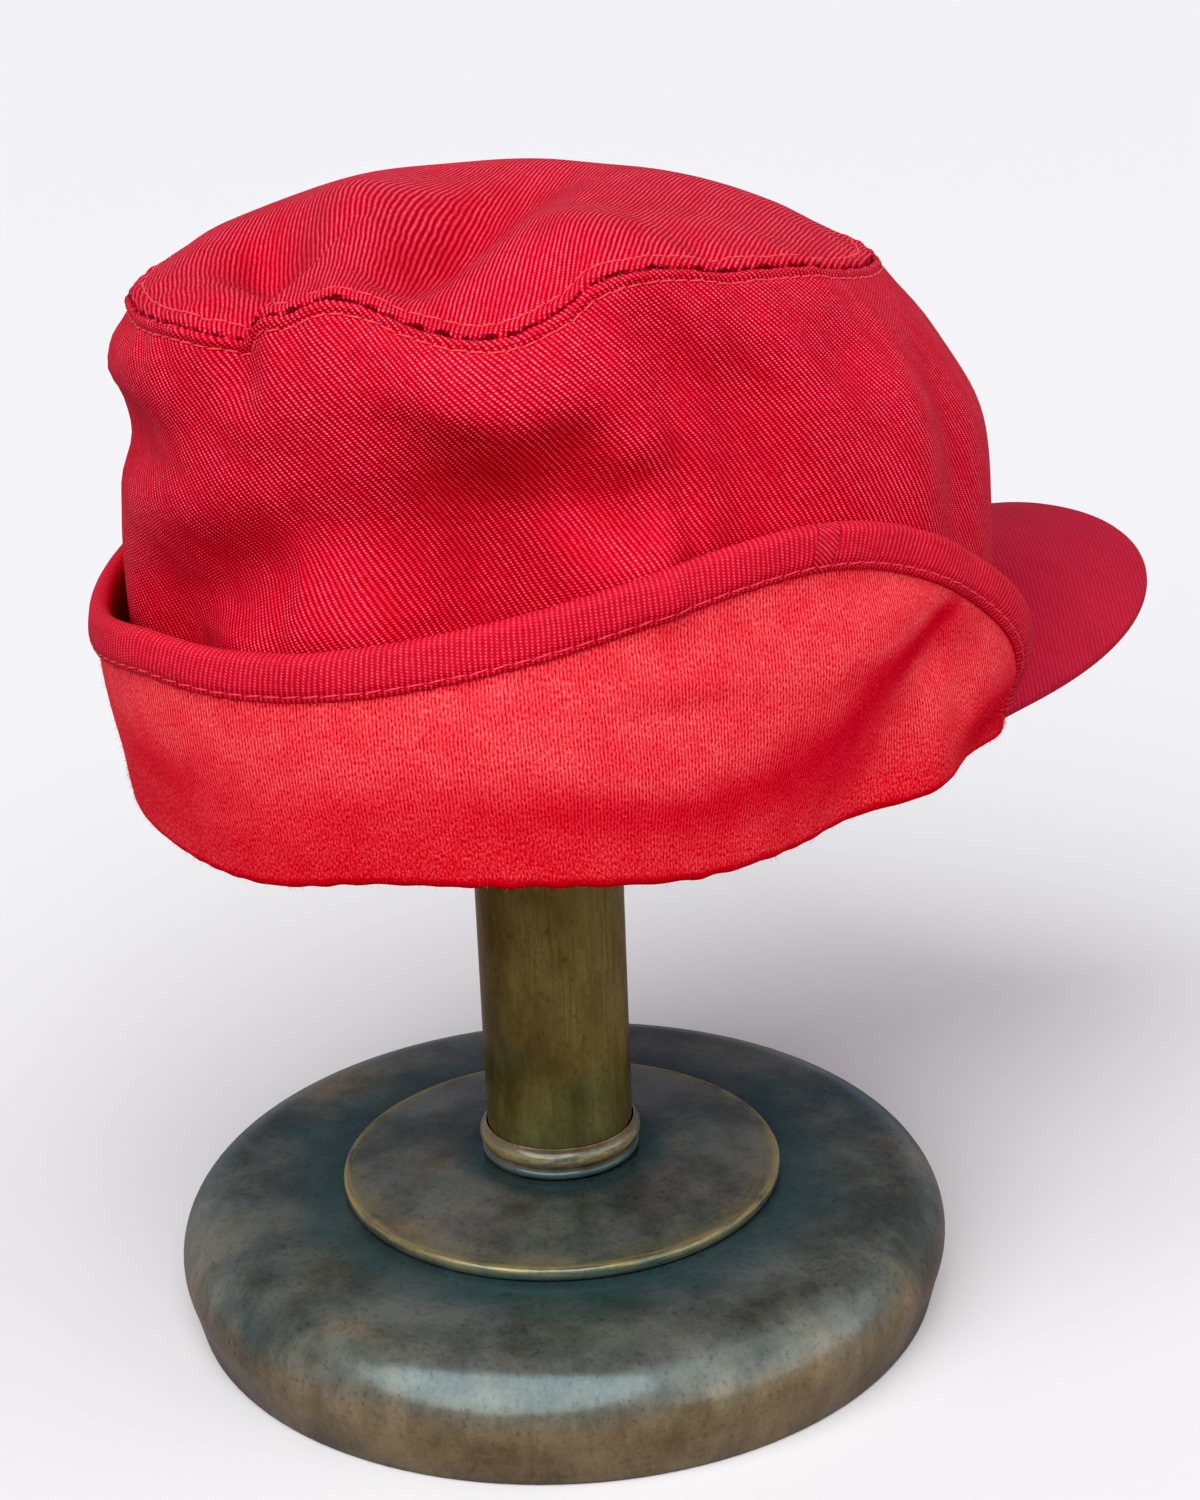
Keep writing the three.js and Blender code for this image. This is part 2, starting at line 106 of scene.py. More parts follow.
print("floor is", floor.dimensions.x, "m wide")

# %% [markdown]
# Three wide suns stand for a window at the back of the cap and the light that a pale room throws back. The
# sky is brightest near the horizon, where the turned stand mirrors it. The film adds some contrast and
# takes a trace of green and blue out of the darks, so that shaded red cloth stays a deep red.

# %% Soft studio light
COOL_WHITE = (0.92, 0.96, 1)
FILL_WHITE = (0.95, 0.97, 1)
SKY_COLOUR = (0.9, 0.94, 1, 1)
# heights of the sky between which it fades, and its strength at each
SKY_FADE = (0, 0.7, 0.4, 0.14)
TAKEN_FROM_DARKS = (0.004, 0.016, 0.015)


def soft_sun(name, bearing, elevation, softness, strength, colour):
    """A wide, even light from a bearing round the cap; it lights near and far floor alike."""
    bpy.ops.object.light_add(type="SUN", location=(0, 0, 1))
    lamp = bpy.context.object
    lamp.name = name
    lamp.data.energy = strength
    lamp.data.angle = math.radians(softness)
    lamp.data.color = colour
    turn, tilt = math.radians(bearing), math.radians(elevation)
    source = Vector((-math.sin(turn) * math.cos(tilt), -math.cos(turn) * math.cos(tilt), math.sin(tilt)))
    lamp.rotation_euler = (-source).to_track_quat("-Z", "Y").to_euler()
    print(name, strength, "W/m2")


soft_sun("window_light", 153, 45, 70, 3.15, COOL_WHITE)
soft_sun("side_light", 72, 32, 80, 0.95, COOL_WHITE)
soft_sun("low_fill", 70, 9, 60, 0.35, FILL_WHITE)
world = bpy.data.worlds.new("studio")
world.use_nodes = True
sky = world.node_tree.nodes
sky_links = world.node_tree.links
sky_place = sky.new("ShaderNodeTexCoord")
sky_height = sky.new("ShaderNodeSeparateXYZ")
sky_fade = sky.new("ShaderNodeMapRange")
for socket, value in zip(sky_fade.inputs[1:5], SKY_FADE):
    socket.default_value = value
sky["Background"].inputs["Color"].default_value = SKY_COLOUR
sky_links.new(sky_place.outputs["Generated"], sky_height.inputs[0])
sky_links.new(sky_height.outputs["Z"], sky_fade.inputs["Value"])
sky_links.new(sky_fade.outputs["Result"], sky["Background"].inputs["Strength"])
bpy.context.scene.world = world
film = bpy.context.scene.view_settings
film.view_transform = "Standard"
film.look = "Medium High Contrast"
film.use_curve_mapping = True
film.curve_mapping.black_level = TAKEN_FROM_DARKS
film.curve_mapping.update()

# %% [markdown]
# ## The stand
# The real stand is turned metal: a weighted base, a thin disc, a ringed collar, a tube and, inside the cap,
# a dome. A lathe is one profile swept round an axis, so one vertex is extruded along the profile and spun
# in many fine steps. Each piece takes the place of the coarser solid of the same form.

# %% Lathe
LATHE_STEPS = 128


def arc(centre, radius, start, end, steps):
    """Points along an arc between two angles in degrees."""
    turns = np.radians(np.linspace(start, end, steps + 1))
    return [(centre[0] + radius * math.cos(turn), centre[1] + radius * math.sin(turn)) for turn in turns]


def put_in_frame(piece, solid=None):
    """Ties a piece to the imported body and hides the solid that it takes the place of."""
    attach(piece, "root")
    if solid:
        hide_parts(solid)


def turn_on_lathe(name, solid, profile):
    """Spins a profile of (radius, height) points in mm about the Z axis, in place of a plainer solid."""
    bpy.ops.object.select_all(action="DESELECT")
    bpy.ops.mesh.primitive_plane_add(size=MM)
    piece = bpy.context.object
    piece.name = piece.data.name = name
    bpy.ops.object.mode_set(mode="EDIT")
    bpy.ops.mesh.merge(type="CENTER")
    bpy.ops.transform.translate(value=(profile[0][0] * MM, 0, profile[0][1] * MM))
    for before, after in zip(profile, profile[1:]):
        step = ((after[0] - before[0]) * MM, 0, (after[1] - before[1]) * MM)
        bpy.ops.mesh.extrude_vertices_move(TRANSFORM_OT_translate={"value": step})
    bpy.ops.mesh.select_all(action="SELECT")
    bpy.ops.mesh.spin(steps=LATHE_STEPS, angle=2 * math.pi, center=(0, 0, 0), axis=(0, 0, 1))
    bpy.ops.mesh.select_all(action="SELECT")
    bpy.ops.mesh.remove_doubles(threshold=0.005 * MM)
    bpy.ops.mesh.normals_make_consistent(inside=False)
    bpy.ops.object.mode_set(mode="OBJECT")
    bpy.ops.object.shade_smooth_by_angle(angle=math.radians(40))
    put_in_frame(piece, solid)
    size = [round(value / MM, 1) for value in piece.dimensions]
    print(name, len(piece.data.polygons), "faces,", size, "mm")
    return piece


# %% Base and disc, as points of a radius and a height
BASE_TOP = 26.7
BASE_SHOULDER = 13
DISC_FOOT = 27
DISC_TOP = 33
base = turn_on_lathe("turned_base", "stand_base", [
    (0, 0), (60, 0), (86.2, 0), (86.8, 0.2), (87.2, 0.8),
    *arc((77, BASE_TOP - BASE_SHOULDER), BASE_SHOULDER, -22, 90, 22),
    (68, 26.75), (54, BASE_TOP), (30, BASE_TOP), (0, BASE_TOP),
])
disc = turn_on_lathe("turned_disc", "stand_disc", [
    (0, DISC_FOOT), (40, DISC_FOOT), (51.1, DISC_FOOT), (51.5, 27.5),
    *arc((50.6, 29), 0.9, 0, 100, 6),
    (49.2, 29.95), (44, 30.7), (36, 31.6), (27, 32.5), (20.5, DISC_TOP), (0, DISC_TOP),
])

# %% Collar, post and head
COLLAR_BORE = 17.3
POST_RADIUS = 17
POST_FOOT = 33.3
POST_TOP = 223.9
HEAD_RADIUS = 46
HEAD_RISE = 22
collar = turn_on_lathe("collar_ring", "stand_collar", [
    (COLLAR_BORE, POST_FOOT), (17.8, POST_FOOT),
    *arc((COLLAR_BORE, 34.5), 1.3, -70, 70, 8),
    *arc((16.2, 38.3), 2.7, -62, 62, 10),
    (COLLAR_BORE, 40.9), (COLLAR_BORE, 37), (COLLAR_BORE, POST_FOOT),
])
post = turn_on_lathe("post_tube", "stand_post", [
    (0, POST_FOOT),
    *((POST_RADIUS, height) for height in (POST_FOOT, 60, 90, 120, 150, 185, POST_TOP)),
    (0, POST_TOP),
])
head_low, head_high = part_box("stand_head")
head_foot, head_top = head_low.z / MM, head_high.z / MM
ball = (HEAD_RADIUS ** 2 + HEAD_RISE ** 2) / (2 * HEAD_RISE)
sweep = math.degrees(math.asin(HEAD_RADIUS / ball))
head = turn_on_lathe("dome_head", "stand_head", [
    (0, head_foot), (HEAD_RADIUS - 1, head_foot), (HEAD_RADIUS - 0.3, head_foot + 0.3),
    (HEAD_RADIUS, head_foot + 1),
    *arc((0, head_top - ball), ball, 90 - sweep, 90, 20)[:-1],
    (0, head_top),
])

# %% [markdown]
# ## Tables of the cap
# Cloth keeps the rumples of its last handling, which no simulation would hit on, so they are placed one by
# one. Short tables hold the crown's level sections, the waves of its top seam, its dents and folds, and
# the free edge of the turned-up flap. They are fitted on the side that the camera sees, and made up in the
# same manner elsewhere. Bearings run round the cap in degrees: 0 front, 90 the wearer's right, 180 back.

# %% Smooth curve through a table
def smooth_table(table, column, at, period=0):
    """Reads a column of a table of tuples at places on its first column; a period closes the curve."""
    keys = np.array([row[0] for row in table], float)
    values = np.array([row[column] for row in table], float)
    at = np.asarray(at, float)
    if period:
        at = np.mod(at, period)
        keys = np.concatenate([keys[-2:] - period, keys, keys[:2] + period])
        values = np.concatenate([values[-2:], values, values[:2]])
    slopes = np.empty_like(values)
    slopes[1:-1] = (values[2:] - values[:-2]) / (keys[2:] - keys[:-2])
    slopes[0] = (values[1] - values[0]) / (keys[1] - keys[0])
    slopes[-1] = (values[-1] - values[-2]) / (keys[-1] - keys[-2])
    start = np.clip(np.searchsorted(keys, at) - 1, 0, len(keys) - 2)
    width = keys[start + 1] - keys[start]
    t = np.clip((at - keys[start]) / width, 0, 1)
    ease = t * t * (3 - 2 * t)
    bend = t * (1 - t) ** 2 * slopes[start] + t * t * (t - 1) * slopes[start + 1]
    return values[start] + (values[start + 1] - values[start]) * ease + bend * width


def smoothstep(at, low, high):
    t = np.clip((at - low) / (high - low), 0, 1)
    return t * t * (3 - 2 * t)


def hump(*shares):
    return np.exp(-sum(share * share for share in shares) / 2)


def unevenness(around, waves, seed, parts=7):
    """Smooth unevenness of about -1 to 1 that closes after one turn."""
    chance = np.random.default_rng(seed)
    total = 0
    for _ in range(parts):
        count = round(waves * chance.uniform(0.6, 1.4))
        total = total + np.sin(2 * np.pi * (count * around + chance.random()))
    return total / math.sqrt(parts)


# %% Tables in mm and degrees
CROWN_FOOT = 138
SEAM_HEIGHT = 239
# rise, half length, half width, how far forward
WALL_SECTIONS = [
    (0.0, 99.5, 83.5, 10), (0.4, 100.5, 82, 9.5), (0.66, 98.5, 80.5, 8.5),
    (0.84, 94, 77.5, 3), (1.0, 85, 70, -5.5),
]
# bearing, lift of the top seam
SEAM_WAVES = [
    (0, -1), (40, -1), (58, 0.2), (70, 2.2), (77, 4.2), (87, 5.6), (94, 6.3), (100, 8), (107, 8.3),
    (112.5, 6.6), (116, 3.2), (119, 1.2), (122, -0.4), (126, -1.3), (130.5, -0.6), (134.5, 1), (138, 2.9),
    (142, 5.5), (147, 7), (150, 6.2), (154, 4.2), (158.5, 3.2), (161.5, -1), (165.5, -0.6), (170, 0.2),
    (176, 0.9), (188, 1), (205, 1.5), (220, 0), (260, 3), (310, -1),
]
# bearing, rise, depth (less than nothing is a bulge), spread in degrees, reach above and below
WALL_DENTS = [
    (132, 0.62, 11, 7.2, 0.11, 0.36), (133, 0.87, -3.2, 9, 0.08, 0.045), (122, 0.72, 5, 3.4, 0.085, 0.08),
    (116, 0.61, 5.5, 4, 0.065, 0.045), (114.5, 0.53, -2.4, 2.4, 0.08, 0.08),
    (109.3, 0.64, 1.6, 1.3, 0.12, 0.12), (100, 0.72, 6, 7, 0.12, 0.26), (108, 0.86, 3, 3.4, 0.07, 0.08),
    (141, 0.49, 4, 6, 0.13, 0.12),
    (81, 0.84, 2.4, 3.6, 0.05, 0.07), (74, 0.87, 1.8, 3, 0.05, 0.06), (91, 0.76, -0.7, 2.6, 0.16, 0.16),
    (73.5, 0.68, -1.3, 4, 0.2, 0.2), (64, 0.62, 2.4, 4, 0.2, 0.2), (42, 0.88, 3.6, 15, 0.12, 0.14),
    (163, 0.58, 4, 6, 0.07, 0.07), (172, 0.5, 6, 7, 0.085, 0.06), (185, 0.37, 9, 9, 0.14, 0.08),
    (155, 0.47, -1.6, 8, 0.07, 0.08), (150, 0.56, 2.2, 7, 0.1, 0.08), (158, 0.87, -1.4, 7, 0.07, 0.07),
    (197, 0.76, 5, 13, 0.06, 0.07), (212, 0.93, 1.2, 14, 0.04, 0.05), (205, 1.0, 4.5, 17, 0.05, 0.05),
    (163, 0.94, 3.2, 3.4, 0.06, 0.05), (170, 0.85, 1.4, 5, 0.06, 0.07), (232, 0.66, 6, 12, 0.09, 0.08),
    (252, 0.5, 3.5, 8, 0.09, 0.06), (275, 0.7, 5.5, 9, 0.1, 0.08), (288, 0.58, -2, 5, 0.08, 0.1),
    (318, 0.7, 4, 9, 0.1, 0.1), (345, 0.8, 2.5, 9, 0.08, 0.1), (15, 0.76, 2.5, 10, 0.08, 0.1),
]
# bearing, how far the grain of the side's cloth has been pulled askew, in degrees
GRAIN_DRIFT = [
    (0, 4), (60, 6), (85, 5), (100, 3), (118, 3), (137, 0), (158, -2), (180, -5), (220, 0), (300, 2),
]
# forward, right, lift, length, width and turn of each hill or valley of the top
TOP_FOLDS = [
    (-34, 48, 4, 22, 12, -26), (-39, 25, -9.5, 30, 6, -26), (-44, 0, 6, 26, 9, -45),
    (0, -42, 4.6, 24, 14, 20), (-52, -34, 3, 18, 15, 10), (-60, -2, -11, 14, 6.2, -60),
    (26, -22, 1.6, 14, 14, 0), (44, 2, 3, 24, 26, 0), (36, -44, -3, 18, 8, 40),
]
# bearing, height of the flap's free edge
FLAP_EDGE = [
    (49, 1), (50.4, 11), (54, 22), (60, 32.5), (67.5, 42), (77, 50.8), (87, 56.8), (97, 59), (107, 57.8),
    (118, 54.2), (132, 49.3), (150, 44.4), (166, 42.7), (180, 43.5),
]
# bearing, how far the free edge leans off the crown, how far it has dropped
FLAP_LIE = [
    (0, 5, 0), (50, 6, 0), (70, 2, 0), (100, 0.5, 0), (140, 0.8, 0), (165, 3, 0), (188, 4.5, 0), (208, 2, 3),
    (235, 1, 4.5), (270, 0.5, 3), (310, 4, 0),
]
# bearing, height, depth, spread in degrees, reach above and below
PRESSED_DENTS = [
    (74.8, 29, 2.6, 2.4, 5, 7), (79, 21, 3.8, 3.4, 8.5, 16), (85, 12, 4.6, 4.6, 11, 24),
    (93, 5, 3.5, 6.4, 13, 26), (102, 1, 2.8, 8, 14, 24), (111, -1, 2.8, 8, 12, 20), (88, -4, 3.2, 8, 12, 20),
    (70.5, 20, 2.6, 3, 8, 10), (60, -3, 5, 7, 9, 9), (89, 37, -1.6, 8, 6, 6),
    (113, 28, 1.4, 7, 4, 9), (124, 2, 1.4, 9, 9, 9), (136, 24, -1.2, 14, 9, 9), (183, 8, 1.6, 9, 8, 9),
    (212, 16, 1.6, 8, 8, 8), (262, 20, 2.2, 6, 6, 8), (281, 24, 2.4, 5, 5, 7), (300, 14, -1.2, 6, 7, 7),
]
# bearing, how far the bottom roll sags below the crown's lower edge
FLAP_SAG = [
    (0, 0), (50, 4), (68, 3.8), (79, 4.6), (85, 5.6), (92, 6.5), (100, 6.6), (111, 6.4), (122, 4), (132, 2),
    (150, 0.7), (166, 3.8), (179, 4), (192, 2.8), (215, 1.5), (250, 3), (285, 2), (315, 3.5),
]
print(len(WALL_DENTS), "dents in the side,", len(TOP_FOLDS), "folds in the top")

# %% [markdown]
# ## The crown's side
# The side is one strip of twill. A grid is the flat strip; code then moves its points into place, with rows
# close together at the top where the seam needs them. The flat sizes stay on the sheet as its UV map, so
# the weave keeps its scale wherever the cloth bends. A worn strip is pulled askew here and there, and the
# map turns with it.

# %% Level outline of the crown
TEMPLE_BEARING = 52
TEMPLE_FULLNESS = 2.6
TEMPLE_SPREAD = 16
FIRMNESS = 1.45


def bearing_turn(start, end):
    return np.mod(end - start + 180, 360) - 180


def dent_depth(table, bearing, level):
    """How deep a table's dents are; a dent has firm sides and may reach further down than up."""
    depth = 0
    for middle, middle_level, dent, spread, above, below in table:
        past = level - middle_level
        side = np.abs(past) / np.where(past > 0, above, below)
        depth = depth + dent * hump(bearing_turn(middle, bearing) / spread, side ** FIRMNESS)
    return depth


def crown_outline(bearing, height, outwards):
    """Points of the crown at a bearing and height, before its own dents, moved out square to its outline."""
    corner = np.abs(np.abs(bearing_turn(0, bearing)) - TEMPLE_BEARING)
    outwards = outwards + TEMPLE_FULLNESS * hump(corner / TEMPLE_SPREAD)
    outwards = outwards - dent_depth(PRESSED_DENTS, bearing, height - CROWN_FOOT)
    rise = np.clip((height - CROWN_FOOT) / (SEAM_HEIGHT - CROWN_FOOT), 0, 1)
    half_length = smooth_table(WALL_SECTIONS, 1, rise)
    half_width = smooth_table(WALL_SECTIONS, 2, rise)
    forward = smooth_table(WALL_SECTIONS, 3, rise)
    sine = np.sin(np.radians(bearing))
    cosine = np.cos(np.radians(bearing))
    square = np.hypot(half_length * sine, half_width * cosine)
    x = -half_width * sine - half_length * sine / square * outwards
    y = -half_length * cosine - forward - half_width * cosine / square * outwards
    return np.stack(np.broadcast_arrays(x, y, height), axis=-1).astype(float)


PEAK_CREST = 154.5
PEAK_DROP = 25
PEAK_HALF_WIDTH = 66
PEAK_CAMBER = 2.2
PEAK_SLOPE = 0.02
PEAK_THICKNESS = 2.6
PEAK_BEARING = 46
FOOT_BLEND = 10


def peak_height(aside, reach):
    return PEAK_CREST - PEAK_DROP * (np.abs(aside) / PEAK_HALF_WIDTH) ** PEAK_CAMBER - PEAK_SLOPE * reach


def crown_foot(bearing):
    """Height of the side's lower edge: level, but arched down and up along the root of the peak."""
    aside = WALL_SECTIONS[0][2] * np.sin(np.radians(bearing))
    arched = peak_height(aside, 0) - PEAK_THICKNESS
    level_again = smoothstep(np.abs(bearing_turn(0, bearing)), PEAK_BEARING, PEAK_BEARING + FOOT_BLEND)
    return arched + (CROWN_FOOT - arched) * level_again


def wall_points(bearing, up):
    """Outer face of the side; up runs from its lower edge (0) to the top seam (1)."""
    foot = crown_foot(bearing)
    level = foot + (SEAM_HEIGHT - foot) * up
    rise = (level - CROWN_FOOT) / (SEAM_HEIGHT - CROWN_FOOT)
    points = crown_outline(bearing, level, -dent_depth(WALL_DENTS, bearing, rise))
    seam = SEAM_HEIGHT + smooth_table(SEAM_WAVES, 1, bearing, 360)
    points[..., 2] = foot + (seam - foot) * up
    return points


print("crown is", SEAM_HEIGHT - CROWN_FOOT, "mm tall from its lower edge to the top seam")

# %% Measuring a grid of points
TO_RIGHT = (-1, 0, 0)
UPWARDS = (0, 0, 1)


def lengths_along(points, axis):
    """Length of the way along one axis of a grid, from nothing at its start."""
    steps = np.linalg.norm(np.diff(points, axis=axis), axis=-1)
    start = np.zeros_like(np.take(steps, [0], axis=axis))
    return np.concatenate([start, np.cumsum(steps, axis=axis)], axis=axis)


def unit(vectors, least=1e-9):
    return vectors / np.maximum(np.linalg.norm(vectors, axis=-1, keepdims=True), least)


def grid_normals(points, closes):
    """Unit normals of a grid of rows and columns; a grid that closes meets itself after its last column."""
    if closes:
        ring = np.concatenate([points[:, -2:-1], points, points[:, 1:2]], axis=1)
        across = np.gradient(ring, axis=1)[:, 1:-1]
    else:
        across = np.gradient(points, axis=1)
    return unit(np.cross(np.gradient(points, axis=0), across))


def looking(normals, row, column, direction):
    """Turns all the normals over if the one at a row and column looks away from a direction."""
    return -normals if np.dot(normals[row, column], direction) < 0 else normals


def read_along(places, run, rows):
    """Reads each column of some rows of numbers at places along a run."""
    return np.stack([np.interp(places, run, column) for column in rows.T], axis=-1)


def curve_through(knots, per_span):
    """Smooth curve through rows of numbers, read evenly in each span between two rows."""
    ends = np.concatenate([knots[:1], knots, knots[-1:]])
    pieces = []
    t = np.linspace(0, 1, per_span, endpoint=False)[:, None]
    for a, b, c, d in zip(ends, ends[1:], ends[2:], ends[3:]):
        leave, arrive = (c - a) / 2, (d - b) / 2
        cubic = (2 * b - 2 * c + leave + arrive) * t ** 3
        square = (-3 * b + 3 * c - 2 * leave - arrive) * t ** 2
        pieces.append(cubic + square + leave * t + b)
    return np.concatenate(pieces + [knots[-1:]])


# %% Bending a flat sheet into place
def sheet_piece(name, points, pattern):
    """Adds a flat grid, moves its points to a grid of places in mm, and keeps the flat pattern as UVs."""
    rows, columns = points.shape[:2]
    bpy.ops.object.select_all(action="DESELECT")
    bpy.ops.mesh.primitive_grid_add(x_subdivisions=columns - 1, y_subdivisions=rows - 1, size=1)
    piece = bpy.context.object
    piece.name = piece.data.name = name
    mesh = piece.data
    mesh.vertices.foreach_set("co", (points.reshape(-1, 3) * MM).ravel())
    corners = np.empty(len(mesh.loops), int)
    mesh.loops.foreach_get("vertex_index", corners)
    flat = (pattern.reshape(-1, 2) * MM)[corners]
    mesh.uv_layers[0].data.foreach_set("uv", flat.ravel())
    mesh.update()
    return piece


def edit_whole(piece, operator, **settings):
    """Runs one edit-mode operator on the whole of a piece."""
    bpy.context.view_layer.objects.active = piece
    bpy.ops.object.mode_set(mode="EDIT")
    bpy.ops.mesh.select_all(action="SELECT")
    operator(**settings)
    bpy.ops.object.mode_set(mode="OBJECT")


def close_ring(piece):
    """Merges the points where a sheet meets itself."""
    edit_whole(piece, bpy.ops.mesh.remove_doubles, threshold=0.001 * MM)


def keep_value(piece, name, values):
    """Keeps one number for each point of a sheet, for its material to read."""
    piece.data.attributes.new(name, "FLOAT", "POINT").data.foreach_set("value", values.ravel())


def face_outwards(piece, row_normals):
    """Turns the sheet over if its faces look the other way from the normals it was shaped with."""
    mesh = piece.data
    found = np.empty(len(mesh.polygons) * 3)
    mesh.polygons.foreach_get("normal", found)
    wanted = row_normals.reshape(-1, 3)
    columns = row_normals.shape[1]
    middle = (row_normals.shape[0] // 2) * columns + columns // 2
    face = (row_normals.shape[0] // 2) * (columns - 1) + columns // 2
    if np.dot(found.reshape(-1, 3)[face], wanted[middle]) < 0:
        edit_whole(piece, bpy.ops.mesh.flip_normals)


def thicken(piece, thickness):
    """Gives a sheet its cloth thickness on the hidden side."""
    bpy.context.view_layer.objects.active = piece
    modifier = piece.modifiers.new("cloth thickness", "SOLIDIFY")
    modifier.thickness = thickness * MM
    modifier.offset = -1
    bpy.ops.object.modifier_apply(modifier=modifier.name)
    bpy.ops.object.shade_smooth_by_angle(angle=math.radians(60))


def make_panel(name, points, pattern, normals, thickness, closes, **kept):
    """A sheet of cloth that faces outwards, with its thickness and the values that its material reads."""
    panel = sheet_piece(name, points, pattern)
    for label, values in kept.items():
        keep_value(panel, label, values)
    face_outwards(panel, normals)
    if closes:
        close_ring(panel)
    thicken(panel, thickness)
    return panel


# %% Relief of the top seam
# distances from the seam of the rows of points beside it
SEAM_ROWS = [0, 0.25, 0.5, 0.75, 1.0, 1.3, 1.6, 2.0, 2.4, 2.8, 3.1, 3.4, 3.7, 4.1, 4.6, 5.4, 6.6, 8.2]
SEAM_BAND = 10
PLAIN_ROWS = 40
CROWN_COLUMNS = 640
RIGHT_COLUMN = CROWN_COLUMNS // 4
UPPER_ROW = 3.7
LOWER_ROW = 3.0
GROOVE_WIDTH = 0.55
PUFF = 0.5
STITCH_DIP = 0.35
PUCKER = 0.22
around = np.linspace(0, 1, CROWN_COLUMNS + 1)
bearings = 360 * around


def seam_relief(distance, row, depth, seed):
    """Height of the cloth beside the seam: a ragged groove, a puffed band and a dip under the stitches."""
    ragged = GROOVE_WIDTH + 0.2 * unevenness(around, 90, seed)
    groove = -depth * np.exp(-(distance / np.maximum(ragged, 0.2)) ** 2)
    puff = (PUFF + 0.14 * unevenness(around, 60, seed + 1)) * hump((distance - 0.5 * row) / (0.32 * row))
    dip = -STITCH_DIP * hump((distance - row) / 0.45)
    pucker = PUCKER * unevenness(around, 42, seed + 2) * hump((distance - row - 2.5) / 3)
    return groove + puff + dip + pucker


print(len(SEAM_ROWS), "rows beside the seam,", CROWN_COLUMNS, "columns round the crown")

# %% Side strip
WALL_TALL = 104
SIDE_GROOVE = 1.5
TWILL_THICKNESS = 1.2
DEEP = 9
PROUD = -0.4


# the twill paints bulges paler (painted light) and dents a deeper red (painted shade) from this share
def hollow_share(depth):
    """How hollow the cloth lies: 1 in a deep dent, less than nothing on a bulge."""
    return np.clip(depth / DEEP, PROUD, 1)


wall_up = np.concatenate([
    np.linspace(0, 1 - SEAM_BAND / WALL_TALL, PLAIN_ROWS),
    1 - np.array(SEAM_ROWS[::-1]) / WALL_TALL,
])
wall_grid = wall_points(bearings[None, :], wall_up[:, None])
wall_climb = lengths_along(wall_grid, 0)
wall_to_seam = wall_climb[-1:] - wall_climb
wall_normals = looking(grid_normals(wall_grid, True), 20, RIGHT_COLUMN, TO_RIGHT)
wall_relief = seam_relief(wall_to_seam, LOWER_ROW, SIDE_GROOVE, 11)
wall_face = wall_grid + wall_normals * wall_relief[..., None]
strip_length = lengths_along(wall_grid[len(wall_up) // 2], 0)
drift = np.radians(smooth_table(GRAIN_DRIFT, 1, bearings, 360))
strip_step = np.diff(strip_length, prepend=0)[:, None] * np.stack([np.cos(drift), -np.sin(drift)], axis=-1)
strip_line = np.cumsum(strip_step, axis=0)
strip_up = np.stack([np.sin(drift), np.cos(drift)], axis=-1)
wall_pattern = strip_line + (wall_grid[..., 2:] - CROWN_FOOT - WALL_TALL / 2) * strip_up
wall_rise = (wall_grid[..., 2] - CROWN_FOOT) / (SEAM_HEIGHT - CROWN_FOOT)
wall_hollow = hollow_share(dent_depth(WALL_DENTS, bearings[None, :], wall_rise))
crown_side = make_panel("side_panel", wall_face, wall_pattern, wall_normals, TWILL_THICKNESS, True,
                        from_seam=wall_to_seam, hollow=wall_hollow)
put_in_frame(crown_side, "crown_side")
print("side strip", round(strip_length[-1]), "mm long,", len(crown_side.data.polygons), "faces")

# %% [markdown]
# ## The crown's top
# The top is an oval of the same twill. Its grid runs from the seam to the middle, where all columns meet
# and are merged. Its UVs are floor-plan sizes, because an oval panel is cut flat. Behind, the oval has been
# pulled askew on the head, so the plan is skewed there and the wales turn with it.

# %% Top panel
TOP_SWELL = 17
TOP_FULLNESS = 2.2
SEAM_FADE = 0.6
FOLD_FADE = 0.22


def top_points(bearing, into):
    """Outer face of the top panel; into runs from the seam (0) to the middle (1)."""
    seam = wall_points(bearing, np.ones_like(into))
    middle = np.array([0, -WALL_SECTIONS[-1][3], SEAM_HEIGHT], float)
    points = seam + (middle - seam) * into[..., None]
    points[..., 2] = seam[..., 2] + (SEAM_HEIGHT - seam[..., 2]) * smoothstep(into, 0, SEAM_FADE)
    points[..., 2] += TOP_SWELL * (1 - (1 - into) ** TOP_FULLNESS)
    lift = 0
    for forward, aside, height, long, wide, turn in TOP_FOLDS:
        to_right = -points[..., 0] - aside
        to_front = -points[..., 1] - forward
        cosine, sine = math.cos(math.radians(turn)), math.sin(math.radians(turn))
        along = (to_front * cosine + to_right * sine) / long
        across = (to_right * cosine - to_front * sine) / wide
        lift = lift + height * hump(along, across)
    lift = lift * smoothstep(into, 0, FOLD_FADE)
    points[..., 2] += lift
    return points, lift


TOP_REACH = 78
TOP_GROOVE = 1.3
# directions in the floor plan, and how the plan is skewed behind
ALONG_WALES = np.array([0.766, -0.643])
ACROSS_WALES = np.array([-0.643, -0.766])
SKEW = 0.36
SKEW_START = -45
SKEW_REACH = 30
SKEW_FROM = 4
SKEW_FULL = 50
top_into = np.concatenate([
    np.array(SEAM_ROWS) / TOP_REACH,
    np.linspace(SEAM_BAND / TOP_REACH, 1, PLAIN_ROWS),
])
top_bearing, top_in = np.meshgrid(bearings, top_into)
top_grid, top_lift = top_points(top_bearing, top_in)
top_to_seam = lengths_along(top_grid, 0)
top_normals = looking(grid_normals(top_grid, True), 20, RIGHT_COLUMN, UPWARDS)
top_normals[-1] = UPWARDS
top_relief = seam_relief(top_to_seam, UPPER_ROW, TOP_GROOVE, 31)
top_face = top_grid + top_normals * top_relief[..., None]
top_face[-1] = top_face[-1].mean(axis=0)
